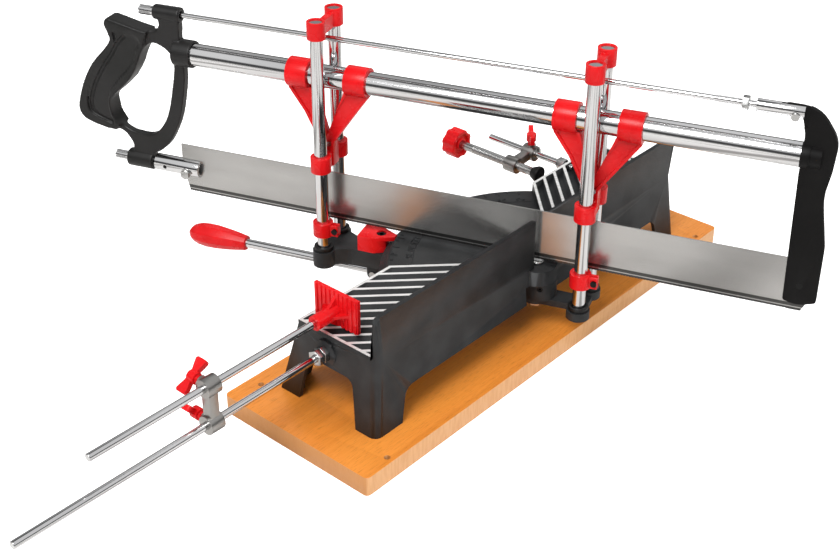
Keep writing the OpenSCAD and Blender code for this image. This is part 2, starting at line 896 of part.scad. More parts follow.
module swivel_arm() {
    arm_start = -front_reach + ring_radius + seat_gap;
    color("#33322f") saw() difference() {
        union() {
            cylinder_between(hub_radius, rear_arm_underside, hub_top);
            translate([0, drum_offset, 0]) cylinder_between(drum_radius, rear_arm_top - overrun, hub_top);
            translate([0, 0, arm_underside]) linear_extrude(arm_thickness) front_arm_plan(arm_start);
            block([-post_spacing / 2, -front_reach - bar_half_depth, arm_underside],
                [post_spacing / 2, arm_start + overrun, front_boss_top]);
            block([-rear_arm_half_width, 0, rear_arm_underside],
                [rear_arm_half_width, rear_reach + bar_half_depth, rear_arm_top]);
            block([-post_spacing / 2, rear_reach - bar_half_depth, rear_arm_underside],
                [post_spacing / 2, rear_reach + bar_half_depth, rear_arm_top]);
            post_pair(-front_reach) cylinder_between(boss_radius, front_boss_bottom, front_boss_top);
            post_pair(rear_reach) cylinder_between(boss_radius, rear_boss_bottom, rear_boss_top);
            lever_lugs();
        }
        cylinder(r = swivel_bolt_d / 2 + running_fit, h = fence_top);
        all_posts() cylinder_between(inner_rod_radius, rear_boss_bottom + table_wall, fence_top);
        post_pair(-front_reach) cylinder_between(post_d / 2 + seat_gap, front_boss_top - ring_seat, fence_top);
        post_pair(rear_reach) cylinder_between(post_d / 2 + seat_gap, rear_boss_top - ring_seat, fence_top);
        block([-lever_d / 2 - seat_gap, -lug_place - arm_slot_length, board_top],
            [lever_d / 2 + seat_gap, -lug_place + arm_slot_length / 2, lever_axis + lug_radius + overrun]);
        translate([0, -lug_place, lever_axis]) bar_x(pin_radius, -arm_half_width, arm_half_width);
        translate([0, -pointer_screw_place, 0]) cylinder_between(pointer_screw_r, arm_underside + overrun, fence_top);
        hub_screw_place() bar_y(hub_screw_r, drum_radius - hub_screw_length - overrun, 2 * drum_radius);
    }
}

// Plan of the front arm, which flares out to the post bosses
module front_arm_plan(from) {
    polygon(rounded([
        [-post_spacing / 2, from], [post_spacing / 2, from], [arm_half_width, from + flare_length],
        [arm_half_width, 0], [-arm_half_width, 0], [-arm_half_width, from + flare_length]
    ], [0, 0, flare_length, 0, 0, flare_length]));
}

// Upright cylinder between two heights
module cylinder_between(r, low, high) {
    translate([0, 0, low]) cylinder(r = r, h = high - low);
}

// Two lugs under the arm that hold the lever's pin
module lever_lugs() {
    for (side = [-1, 1]) {
        inner = lever_d / 2 + seat_gap;
        from = side > 0 ? inner : -inner - lug_thickness;
        translate([0, -lug_place, lever_axis]) bar_x(lug_radius, from, from + lug_thickness);
        block([from, -lug_place - lug_radius, lever_axis], [from + lug_thickness, -lug_place + lug_radius, arm_underside + overrun]);
    }
}

module hub_screw_place() {
    translate([0, drum_offset, hub_top - hub_screw_drop]) rotate([0, 0, hub_screw_turn]) children();
}

module hub_screw() {
    color("dimgray") saw() hub_screw_place() difference() {
        bar_y(hub_screw_r, drum_radius - hub_screw_length - overrun, drum_radius - overrun);
        hex_y(hub_screw_r, drum_radius - hub_screw_length / 2, drum_radius + overrun);
    }
}

module boss_rings() {
    color("#262624") saw() {
        post_pair(-front_reach) boss_ring(front_boss_top);
        post_pair(rear_reach) boss_ring(rear_boss_top);
    }
}

module boss_ring(seat) {
    difference() {
        cylinder_between(ring_radius, seat, seat + ring_rise);
        cylinder_between(post_d / 2 + seat_gap, seat - overrun, seat + ring_rise + overrun);
    }
}

module guide_rods() {
    color("silver") saw() all_posts()
        cylinder_between(inner_rod_radius, rear_boss_bottom + table_wall, inner_rod_top);
}

// Red pointer whose tip reaches over the rim of the dial
module pointer_block() {
    top = arm_top + pointer_height;
    tip_bottom = top - pointer_tip_thickness;
    color("#e8222b") saw() difference() {
        union() {
            translate([0, 0, arm_top]) linear_extrude(pointer_height) polygon([
                [-arm_half_width, -pointer_body_back], [arm_half_width, -pointer_body_back],
                [arm_half_width, -pointer_body_front],
                [arm_half_width / 2, -pointer_nose],
                [-arm_half_width / 2, -pointer_nose],
                [-arm_half_width, -pointer_body_front]
            ]);
            translate([0, 0, tip_bottom]) linear_extrude(pointer_tip_thickness) polygon([
                [arm_half_width, -pointer_body_front], [pointer_tip_half_width, -pointer_tip_reach],
                [-pointer_tip_half_width, -pointer_tip_reach], [-arm_half_width, -pointer_body_front]
            ]);
        }
        translate([0, -pointer_screw_place, 0]) {
            cylinder_between(pointer_screw_r, arm_top - overrun, top + overrun);
            cylinder_between(pointer_socket_r, top - pointer_head_depth, top + overrun);
        }
    }
}

module pointer_screw() {
    head_bottom = arm_top + pointer_height - pointer_head_depth;
    head_top = head_bottom + pointer_head_height;
    color("dimgray") saw() translate([0, -pointer_screw_place, 0]) difference() {
        union() {
            cylinder_between(pointer_screw_r, arm_underside + 2 * overrun, head_bottom);
            cylinder_between(pointer_head_r, head_bottom, head_top);
        }
        translate([0, 0, head_top - pointer_hex_depth])
            cylinder(d = pointer_hex / cos(30), h = pointer_hex_depth + overrun, $fn = 6);
    }
}

module lever_pivot_pin() {
    outer = lever_d / 2 + seat_gap + lug_thickness;
    color("silver") saw() translate([0, -lug_place, lever_axis]) {
        bar_x(pin_radius, -outer, outer);
        bar_x(pin_head_radius, outer, outer + pin_head_height);
    }
}

// Release lever

module lever_rod() {
    eye_half = lever_d * 0.4;
    color("silver") saw() difference() {
        union() {
            translate([0, 0, lever_axis]) bar_y(lever_d / 2, grip_end + grip_length / 4, -lever_pin_place);
            translate([0, -lever_pin_place, lever_axis]) bar_x(lever_d / 2 + edge_soft / 2, -eye_half, eye_half);
        }
        translate([0, -lever_pin_place, lever_axis]) bar_x(pin_radius + running_fit, -lever_d, lever_d);
    }
}

// Red oval grip, round at its end and narrower towards the rod
module lever_grip() {
    middle = grip_d / 2;
    color("#e8222b") saw() translate([0, 0, lever_axis]) difference() {
        intersection() {
            translate([0, grip_end + grip_length, 0]) rotate([90, 0, 0]) rotate_extrude() intersection() {
                translate([middle - grip_length, grip_length * 0.62]) circle(r = grip_length, $fn = 128);
                square([middle, grip_length]);
            }
            bar_y(middle, grip_end, grip_start);
        }
        bar_y(lever_d / 2, grip_end + grip_length / 4, grip_start + overrun);
    }
}

// Posts, yokes and plugs

module guide_posts() {
    color("gainsboro") saw() {
        post_pair(-front_reach) guide_post(front_boss_top - ring_seat);
        post_pair(rear_reach) guide_post(rear_boss_top - ring_seat);
    }
}

module guide_post(base) {
    difference() {
        cylinder_between(post_d / 2, base, cap_top - cap_recess);
        cylinder_between(post_bore_d / 2, base - overrun, cap_top - cap_recess + overrun);
    }
}

module post_plugs() {
    top = cap_top - cap_recess;
    color("gainsboro") saw() all_posts() cylinder_between(post_bore_d / 2, top - plug_height, top);
}

module yoke_cap(reach) {
    cap_bottom = cap_top - cap_height;
    color("#d01a20") saw() difference() {
        union() {
            post_pair(reach) cylinder_between(cap_d / 2, cap_bottom, cap_top);
            block([-post_spacing / 2, reach - web_thickness / 2, cap_bottom],
                [post_spacing / 2, reach + web_thickness / 2, cap_bottom + web_height]);
        }
        post_pair(reach) cylinder_between(post_d / 2, cap_bottom - overrun, cap_top + overrun);
    }
}

module front_yoke_cap() {
    yoke_cap(-front_reach);
}

module rear_yoke_cap() {
    yoke_cap(rear_reach);
}

// Carriers

// Two rings on the tube, arms that meet below it and two collars on the posts
module carrier(reach) {
    outer = ring_gap / 2 + ring_length;
    inner = ring_gap / 2;
    color("#e8222b") saw() difference() {
        union() {
            translate([0, reach + ring_shift, tube_axis]) {
                bar_y(ring_d / 2, -outer, -inner);
                bar_y(ring_d / 2, inner, outer);
            }
            translate([0, reach, 0]) {
                slab_yz(-carrier_arm_width / 2, carrier_arm_width / 2) carrier_outline(0);
                slab_yz(-carrier_arm_width / 2 - flange_rise, carrier_arm_width / 2 + flange_rise) difference() {
                    carrier_outline(0);
                    carrier_outline(flange_thickness);
                }
                block([-post_spacing / 2, -bar_half_depth, collar_bottom],
                    [post_spacing / 2, bar_half_depth, collar_bottom + collar_height]);
            }
            post_pair(reach) cylinder_between(collar_radius, collar_bottom, collar_bottom + collar_height);
        }
        translate([0, reach, tube_axis]) bar_y(tube_d / 2 + running_fit, -2 * outer, 2 * outer);
        translate([0, reach + ring_shift, tube_axis]) bar_y(tube_d / 2 + seat_gap + edge_soft, -inner, inner);
        post_pair(reach) cylinder_between(post_d / 2, collar_bottom - overrun, tube_axis);
        translate([0, reach + ring_shift, collar_bottom + carrier_screw_rise])
            bar_x(carrier_screw_r / 2, -post_spacing, post_spacing);
    }
}

// Side outline of the carrier arms in (y, z), centred on the posts
module carrier_outline(inset) {
    outer = ring_gap / 2 + ring_length - inset;
    inner = ring_gap / 2 + inset;
    half = bar_half_depth + edge_soft - inset;
    under_ring = tube_axis - ring_d / 2;
    neck = tube_axis - neck_share * carrier_height;
    elbow = tube_axis - elbow_share * carrier_height;
    fork = tube_axis - fork_share * carrier_height;
    polygon([
        [-half, collar_bottom + inset], [half, collar_bottom + inset], [half, neck],
        [ring_shift + elbow_reach - inset, elbow], [ring_shift + outer, under_ring], [ring_shift + outer, tube_axis],
        [ring_shift + inner, tube_axis], [ring_shift + inner - ring_root, under_ring],
        [0, fork + 2 * inset],
        [ring_shift - inner + ring_root, under_ring], [ring_shift - inner, tube_axis],
        [ring_shift - outer, tube_axis], [ring_shift - outer, under_ring],
        [ring_shift - elbow_reach + inset, elbow], [-half, neck]
    ]);
}

module front_carrier() {
    carrier(-front_reach);
}

module rear_carrier() {
    carrier(rear_reach);
}

module carrier_screws() {
    face = carrier_arm_width / 2 + flange_rise;
    color("silver") saw() for (reach = [-front_reach, rear_reach])
        translate([0, reach + ring_shift, collar_bottom + carrier_screw_rise]) {
            bar_x(carrier_screw_r / 2, -face, face);
            bar_x(carrier_screw_r, face, face + carrier_screw_height);
        }
}

// Depth stops

module depth_stop(reach) {
    base = depth_stop_base;
    ear_middle = base + depth_stop_height / 2;
    color("#e8222b") saw() translate([post_spacing / 2, reach, 0]) difference() {
        union() {
            cylinder_between(depth_stop_d / 2, base, base + depth_stop_height);
            block([-ear_thickness / 2, 0, ear_middle - ear_height / 2],
                [ear_thickness / 2, ear_length, ear_middle + ear_height / 2]);
        }
        cylinder_between(post_d / 2 + running_fit, base - overrun, base + depth_stop_height + overrun);
        block([-edge_soft / 2, 0, base - overrun], [edge_soft / 2, 2 * ear_length, base + depth_stop_height + overrun]);
        translate([0, ear_length - stop_screw_head_r, ear_middle]) bar_x(stop_screw_r, -depth_stop_d, depth_stop_d);
    }
}

module depth_stop_screw(reach) {
    color("silver") saw() translate([
        post_spacing / 2, reach + ear_length - stop_screw_head_r, depth_stop_base + depth_stop_height / 2
    ]) {
        bar_x(stop_screw_r, -ear_thickness / 2 - stop_screw_head, ear_thickness / 2);
        bar_x(stop_screw_head_r, ear_thickness / 2, ear_thickness / 2 + stop_screw_head);
    }
}

module front_depth_stop() {
    depth_stop(-front_reach);
}

module front_stop_screw() {
    depth_stop_screw(-front_reach);
}

module rear_depth_stop() {
    depth_stop(rear_reach);
}

module rear_stop_screw() {
    depth_stop_screw(rear_reach);
}

// Saw frame

module frame_tube() {
    color("gainsboro") saw() translate([0, 0, tube_axis]) difference() {
        bar_y(tube_d / 2, tube_front, tube_rear);
        bar_y(tube_d / 2 - tube_wall, tube_front - overrun, tube_rear + overrun);
    }
}

module tension_rod() {
    color("gainsboro") saw() translate([0, 0, rod_axis]) {
        bar_y(tension_rod_d / 2, rod_front, thread_end);
        bar_y(rod_thread_r, thread_end - thread_length, thread_end);
    }
}

module lock_nut() {
    color("silver") saw() translate([0, 0, rod_axis]) difference() {
        hex_y(nut_flats, nut_front, nut_rear);
        bar_y(rod_thread_r + running_fit, nut_front - overrun, nut_rear + overrun);
    }
}

// Forked end of the tension rod that straddles the end plate
module clevis() {
    slot_half = end_plate_thickness / 4;
    color("gainsboro") saw() translate([0, 0, rod_axis]) difference() {
        bar_y(clevis_r, clevis_front, clevis_rear);
        bar_y(rod_thread_r, clevis_front - overrun, thread_end);
        block([-slot_half - running_fit, (clevis_front + clevis_rear) / 2, -2 * clevis_r],
            [slot_half + running_fit, clevis_rear + overrun, 2 * clevis_r]);
        translate([0, clevis_pin_place, -clevis_pin_drop]) bar_x(pin_radius, -2 * clevis_r, 2 * clevis_r);
    }
}

module clevis_pin() {
    color("dimgray") saw() translate([0, clevis_pin_place, rod_axis - clevis_pin_drop]) {
        bar_x(pin_radius, -clevis_r, clevis_r);
        bar_x(pin_head_radius, clevis_r, clevis_r + pin_head_height);
    }
}

// Curved black plate that joins the tube, the tension rod and the blade
module end_plate() {
    half = end_plate_thickness / 2;
    tongue = end_plate_thickness / 4;
    blade_slot = blade_thickness / 2 + running_fit;
    color("#2a2928") saw() difference() {
        union() {
            slab_yz(-half, half) difference() {
                end_plate_outline();
                translate([clevis_front, rod_axis - tongue_drop])
                    square([clevis_rear - clevis_front + 2 * clevis_rear_gap, 3 * tongue_drop]);
            }
            slab_yz(-tongue, tongue) end_plate_outline();
            translate([0, 0, tube_axis]) {
                bar_y(tube_d / 2, tube_rear, tube_rear + plug_ring);
                bar_y(plug_share * tube_d / 2, tube_rear, tube_rear + plug_length);
            }
        }
        translate([0, 0, tube_axis]) bar_y(tube_d / 2 - tube_wall, tube_rear - overrun, tube_rear + plug_step);
        block([-blade_slot, blade_rear - blade_slot_depth, 0], [blade_slot, blade_rear + running_fit, blade_top + running_fit]);
        translate([0, clevis_pin_place, rod_axis - clevis_pin_drop]) bar_x(pin_radius, -2 * half, 2 * half);
        translate([0, blade_rear - blade_pin_inset, tooth_line + blade_height / 2]) bar_x(blade_pin_r, -2 * half, 2 * half);
    }
}

module end_plate_outline() {
    share_outline(plate_shares, [tube_rear, plate_low], [plate_width, rod_axis + plate_rise - plate_low]);
}

// Black plug that closes the tube and seats it in the end plate
module tube_plug() {
    color("#2a2928") saw() translate([0, 0, tube_axis])
        bar_y(tube_d / 2 - tube_wall - running_fit, tube_rear - 3 * plug_step, tube_rear + plug_step - running_fit);
}

module blade() {
    teeth = floor(blade_length * 0.96 / tooth_pitch);
    low_corner = blade_height / 4;
    color("#b5b0ac") saw() slab_yz(-blade_thickness / 2, blade_thickness / 2) difference() {
        polygon(concat(
            [[blade_front, blade_top], [blade_front, blade_top - blade_height / 2], [blade_front + low_corner / 2, tooth_line]],
            [for (tooth = [1 : 2 * teeth]) [
                blade_front + low_corner / 2 + tooth * tooth_pitch / 2,
                tooth_line + (tooth % 2) * tooth_pitch / 4
            ]],
            [[blade_rear - low_corner / 2, tooth_line], [blade_rear, tooth_line + low_corner], [blade_rear, blade_top]]
        ));
        translate([blade_rear - blade_pin_inset, tooth_line + blade_height / 2]) circle(r = blade_pin_r);
        translate([blade_bolt_place, blade_screw_axis - blade_bolt_drop]) circle(r = blade_pin_r);
    }
}

module blade_pin_rear() {
    half = end_plate_thickness / 2;
    color("silver") saw() translate([0, blade_rear - blade_pin_inset, tooth_line + blade_height / 2])
        bar_x(blade_pin_r, -half, half);
}

// Slotted bright cylinder that grips the front end of the blade
module blade_carrier() {
    color("gainsboro") saw() translate([0, 0, blade_screw_axis]) difference() {
        union() {
            bar_y(carrier_r, carrier_front, carrier_rear);
            bar_y(pull_rod_r, lower_boss_rear - pull_rod_seat, carrier_front);
        }
        bar_y(carrier_r * 0.7, blade_front + blade_bolt_gap + 2 * blade_pin_r, carrier_rear + overrun);
        block([-blade_thickness / 2 - running_fit, blade_front - running_fit, -2 * carrier_r],
            [blade_thickness / 2 + running_fit, carrier_rear + overrun, 2 * carrier_r]);
        translate([0, blade_bolt_place, -blade_bolt_drop]) bar_x(blade_pin_r, -2 * carrier_r, 2 * carrier_r);
        translate([0, carrier_front + blade_end_pin_gap, -blade_end_pin_drop]) bar_x(pin_radius, -2 * carrier_r, 2 * carrier_r);
    }
}

module blade_bolt() {
    color("silver") saw() translate([0, blade_bolt_place, blade_screw_axis - blade_bolt_drop]) {
        bar_x(blade_pin_r, -carrier_r, carrier_r);
        bar_x(2 * blade_pin_r, carrier_r, carrier_r + blade_bolt_washer);
        hex_x(3 * blade_pin_r, carrier_r + blade_bolt_washer, carrier_r + blade_bolt_washer + blade_pin_r);
    }
}

module blade_pin_front() {
    color("dimgray") saw() translate([0, carrier_front + blade_end_pin_gap, blade_screw_axis - blade_end_pin_drop])
        bar_x(pin_radius, -carrier_r + edge_soft / 4, carrier_r - edge_soft / 4);
}

// Handle with its grip, horn, finger opening and two screw bosses
module handle() {
    half = handle_thickness / 2;
    frame = handle_frame_thickness / 2;
    color("#3c3c3b") saw() difference() {
        union() {
            slab_yz(-half, half) intersection() {
                handle_body();
                share_outline(grip_shares, [socket_rear, blade_screw_axis], handle_spans);
            }
            slab_yz(-frame, frame) handle_body();
            translate([0, 0, rod_axis]) bar_y(handle_boss_r, handle_boss_front, handle_boss_rear);
            translate([0, 0, tube_axis]) bar_y(socket_r, socket_front, socket_rear);
            translate([0, 0, blade_screw_axis]) bar_y(lower_boss_r, lower_boss_front, lower_boss_rear);
        }
        for (side = [-1, 1]) translate([side * half, 0, 0])
            slab_yz(-handle_groove_depth, handle_groove_depth) difference() {
                handle_outline(panel_shares);
                translate([handle_groove, handle_groove]) handle_outline(panel_shares);
            }
        translate([0, 0, rod_axis]) bar_y(screw_r - edge_soft + running_fit, handle_boss_front - overrun, handle_boss_rear + overrun);
        translate([0, 0, tube_axis]) bar_y(tube_d / 2 + running_fit, tube_front, socket_rear + overrun);
        translate([0, 0, blade_screw_axis]) bar_y(pull_rod_r + running_fit, lower_boss_front - overrun, lower_boss_rear + overrun);
    }
}

// One of the handle's outlines in (y, z)
module handle_outline(rows) {
    curve_outline(rows, [socket_rear, blade_screw_axis], handle_spans);
}

// Handle outline with its finger opening
module handle_body() {
    difference() {
        handle_outline(handle_shares);
        handle_outline(opening_shares);
    }
}

module tension_screw() {
    color("gainsboro") saw() translate([0, 0, rod_axis]) difference() {
        union() {
            fluted_head(screw_r, handle_screw_front, handle_boss_front);
            bar_y(screw_r - edge_soft, handle_boss_front, rod_front + 3 * plug_step);
        }
        bar_y(tension_rod_d / 2 + running_fit, rod_front - overrun, rod_front + 4 * plug_step);
    }
}

module blade_screw() {
    inside = lower_boss_rear - pull_rod_seat;
    color("gainsboro") saw() translate([0, 0, blade_screw_axis]) {
        fluted_head(screw_r, blade_screw_front, lower_boss_front);
        bar_y(pull_rod_r, lower_boss_front, inside);
    }
}

// Length stop

module length_stop_rod() {
    color("gainsboro") translate([0, stop_y, stop_axis])
        bar_x(stop_rod_d / 2, table_half_length - stop_rod_seat, table_half_length + stop_rod_length);
}

module length_stop_nuts() {
    start = table_half_length + stop_nut_start;
    color("silver") translate([0, stop_y, stop_axis]) for (place = [0, stop_nut_height + nut_washer_gap])
        difference() {
            hex_x(stop_nut_flats, start + place, start + place + stop_nut_height);
            bar_x(stop_rod_d / 2, start - overrun, start + place + stop_nut_height + overrun);
        }
}

// Two rings joined by a web, with a screw eye on the operator's side of each ring
module stop_bracket() {
    half = bracket_length / 2;
    color("#a9a7a3") translate([bracket_x, stop_y, 0]) difference() {
        union() {
            for (z = [stop_axis, slide_axis]) translate([0, 0, z]) {
                bar_x(bracket_ring_d / 2, -half, half);
                bar_y(wing_head_r, -bracket_ring_d / 2 - overrun, 0);
            }
            block([-bracket_web / 2, -bracket_web / 2, stop_axis], [bracket_web / 2, bracket_web / 2, slide_axis]);
        }
        for (z = [stop_axis, slide_axis]) translate([0, 0, z]) {
            bar_x(stop_rod_d / 2 + running_fit, -bracket_length, bracket_length);
            bar_y(wing_stem_r + running_fit, -2 * bracket_ring_d, 0);
        }
    }
}

// Wing screw of the bracket on the rod at a given height
module bracket_wing(height, turn) {
    tip = stop_rod_d / 2 + seat_gap;
    color("#e8222b") translate([bracket_x, stop_y - tip, height])
        rotate([90, 0, 0]) rotate([0, 0, turn]) wing_screw(wing_stem);
}

module upper_wing_screw() {
    bracket_wing(slide_axis, upper_wing_turn);
}

module lower_wing_screw() {
    bracket_wing(stop_axis, lower_wing_turn);
}

module stop_slide_rod() {
    color("gainsboro") translate([0, stop_y, slide_axis])
        bar_x(stop_rod_d / 2, slide_rod_start, slide_rod_start + slide_rod_length);
}

// Red ribbed plate with a gusseted socket for the rod
module stop_plate() {
    face = stop_plate_x + stop_plate_thickness;
    half = stop_plate_width / 2;
    rib_step = stop_plate_width / stop_rib_count;
    color("#e8222b") translate([0, stop_y, 0]) difference() {
        union() {
            block([stop_plate_x, -half, stop_plate_low], [face, half, stop_plate_low + stop_plate_height]);
            for (rib = [0 : stop_rib_count - 1])
                block([face, -half + (rib + 0.25) * rib_step, stop_plate_low],
                    [face + stop_rib_depth, -half + (rib + 0.75) * rib_step, stop_plate_low + stop_plate_height]);
            translate([0, 0, slide_axis]) bar_x(stop_hub_d / 2, face, face + stop_hub_length);
            for (turn = [0, 90, 180, 270]) translate([0, 0, slide_axis]) rotate([turn, 0, 0])
                slab_xz(-stop_gusset_half, stop_gusset_half) polygon([
                    [face, 0], [face, stop_plate_height / 2 - edge_soft], [face + stop_hub_length * 0.7, 0]
                ]);
        }
        translate([0, 0, slide_axis]) bar_x(stop_rod_d / 2, slide_rod_start, face + stop_hub_length + overrun);
    }
}

// Work clamp

module clamp_rod() {
    color("gainsboro") translate([-clamp_rod_x, 0, clamp_axis])
        bar_y(stop_rod_d / 2, clamp_y, -table_depth + 2 * table_wall);
}

module clamp_rod_nut() {
    color("silver") translate([-clamp_rod_x, 0, clamp_axis]) difference() {
        hex_y(clamp_nut_flats, clamp_nut_y, clamp_nut_y + clamp_nut_height);
        bar_y(stop_rod_d / 2, clamp_nut_y - overrun, clamp_nut_y + clamp_nut_height + overrun);
    }
}

// Ring on the rod, arm and threaded ring for the spindle
module clamp_bracket() {
    half = clamp_ring_length / 2;
    swing = atan2(-clamp_drop, spindle_x + clamp_rod_x);
    color("#a9a7a3") translate([0, clamp_bracket_y, 0]) difference() {
        union() {
            translate([-clamp_rod_x, 0, clamp_axis]) {
                bar_y(clamp_ring_d / 2, -half, half);
                cylinder(r = wing_head_r, h = clamp_ring_d / 2 + overrun);
                rotate([0, -swing, 0]) block([0, -clamp_arm_thickness / 2, -clamp_arm_thickness / 2],
                    [clamp_reach, clamp_arm_thickness / 2, clamp_arm_thickness / 2]);
            }
            translate([spindle_x, 0, spindle_axis]) bar_y(clamp_ring_d / 2, -half, half);
        }
        translate([-clamp_rod_x, 0, clamp_axis]) {
            bar_y(stop_rod_d / 2 + running_fit, -clamp_ring_length, clamp_ring_length);
            cylinder(r = wing_stem_r + running_fit, h = clamp_ring_d);
        }
        translate([spindle_x, 0, spindle_axis])
            bar_y(spindle_d / 2 + running_fit, -clamp_ring_length, clamp_ring_length);
    }
}

module clamp_wing_screw() {
    color("#e8222b") translate([-clamp_rod_x, clamp_bracket_y, clamp_axis + stop_rod_d / 2 + seat_gap])
        rotate([0, 0, clamp_wing_turn]) wing_screw(wing_stem);
}

module clamp_spindle() {
    neck_start = pad_face - pad_thickness - pad_neck;
    color("silver") translate([spindle_x, 0, spindle_axis]) {
        bar_y(spindle_d / 2, knob_y, neck_start);
        bar_y(spindle_d / 4, neck_start, neck_start + pad_neck + pad_thickness / 2);
    }
}

module clamp_pad() {
    back = pad_face - pad_thickness;
    color("#2a2928") translate([spindle_x, 0, spindle_axis]) difference() {
        union() {
            bar_y(pad_d / 2, back, pad_face);
            translate([0, back - pad_neck + seat_gap, 0]) rotate([-90, 0, 0])
                cylinder(r1 = pad_neck_r, r2 = pad_d / 2, h = pad_neck - seat_gap);
        }
        bar_y(spindle_d / 4 + running_fit, back - 2 * pad_neck, back + pad_thickness / 2 + seat_gap);
    }
}

// Red knob with shallow scallops round its rim and a dished face round its hub
module clamp_knob() {
    half = knob_length / 2;
    scallop_place = knob_d / 2 + knob_scallop_r - knob_scallop_depth;
    color("#e8222b") translate([spindle_x, 0, spindle_axis]) difference() {
        union() {
            difference() {
                bar_y(knob_d / 2, knob_y - half, knob_y + half);
                for (lobe = [0 : knob_lobes - 1]) rotate([0, lobe * 360 / knob_lobes, 0])
                    translate([scallop_place, 0, 0]) bar_y(knob_scallop_r, knob_y - knob_length, knob_y + knob_length);
                bar_y(knob_d / 2 - knob_rim, knob_y + half - knob_dish_depth, knob_y + knob_length);
            }
            bar_y(spindle_d / 2 + knob_hub_rim, knob_y, knob_y + half);
        }
        bar_y(spindle_d / 2, knob_y, knob_y + 2 * knob_length);
    }
}

base_board();
table_casting();
board_screws();
swivel_bolt();
length_stop_rod();
length_stop_nuts();
clamp_rod();
clamp_rod_nut();
swivel_arm();
boss_rings();
guide_rods();
pointer_block();
pointer_screw();
hub_screw();
lever_pivot_pin();
lever_rod();
lever_grip();
guide_posts();
post_plugs();
front_yoke_cap();
rear_yoke_cap();
front_carrier();
rear_carrier();
carrier_screws();
front_depth_stop();
front_stop_screw();
rear_depth_stop();
rear_stop_screw();
frame_tube();
tension_rod();
handle();
end_plate();
tube_plug();
clevis();
clevis_pin();
blade();
blade_pin_rear();
blade_carrier();
blade_bolt();
blade_pin_front();
tension_screw();
blade_screw();
lock_nut();
stop_bracket();
upper_wing_screw();
lower_wing_screw();
stop_slide_rod();
stop_plate();
clamp_bracket();
clamp_wing_screw();
clamp_spindle();
clamp_knob();
clamp_pad();
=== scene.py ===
"""Looks of a manual mitre saw on a wooden board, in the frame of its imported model.

Lengths are in metres. The saw's own direction along the blade is called "along",
and the table's fence runs along X.
"""

import json
import logging
from dataclasses import dataclass, field
from enum import Enum
from math import cos, pi, radians, sin
from typing import Any, Dict, List, Optional, Sequence, Tuple, Union

import bpy
from mathutils import Euler, Matrix, Vector

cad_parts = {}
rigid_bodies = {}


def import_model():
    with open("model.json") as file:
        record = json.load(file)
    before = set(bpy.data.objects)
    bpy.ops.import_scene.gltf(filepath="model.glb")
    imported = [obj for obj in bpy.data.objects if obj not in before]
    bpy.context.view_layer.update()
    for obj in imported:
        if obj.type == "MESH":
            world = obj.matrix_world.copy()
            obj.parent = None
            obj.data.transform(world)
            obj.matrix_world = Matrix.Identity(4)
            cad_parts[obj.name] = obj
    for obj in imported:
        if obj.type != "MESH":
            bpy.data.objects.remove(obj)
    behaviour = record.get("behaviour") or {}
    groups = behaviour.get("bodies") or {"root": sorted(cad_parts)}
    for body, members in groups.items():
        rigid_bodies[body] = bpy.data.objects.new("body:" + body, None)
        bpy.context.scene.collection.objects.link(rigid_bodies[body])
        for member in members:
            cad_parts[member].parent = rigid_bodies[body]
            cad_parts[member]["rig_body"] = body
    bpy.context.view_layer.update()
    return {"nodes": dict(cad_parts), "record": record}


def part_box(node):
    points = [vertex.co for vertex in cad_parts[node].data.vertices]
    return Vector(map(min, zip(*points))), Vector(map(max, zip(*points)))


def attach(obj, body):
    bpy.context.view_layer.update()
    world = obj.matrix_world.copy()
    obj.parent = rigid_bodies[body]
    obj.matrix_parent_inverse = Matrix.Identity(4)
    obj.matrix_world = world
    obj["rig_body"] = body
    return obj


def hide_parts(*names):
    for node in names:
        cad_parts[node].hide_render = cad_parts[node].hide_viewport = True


LOG = logging.getLogger("mitre_saw")
MM = 0.001
SAW_TURN = radians(20.2)
RIB_TOP = 84.4 * MM
DIAL_TOP = 75.5 * MM
Color = Tuple[float, float, float]
Scales = Tuple[float, float, float]
Number = Union[float, "Value"]

WHITE = (1.0, 1.0, 1.0, 1.0)

# The Mix node's colour sockets follow its number and vector sockets.
MIX_SHARE = 0
MIX_LOW = 6
MIX_HIGH = 7
MIX_RESULT = 2


class Axis(Enum):
    """Coordinates of a place, a direction or a normal."""

    ACROSS = 0
    ALONG = 1
    UP = 2


# Shader building blocks


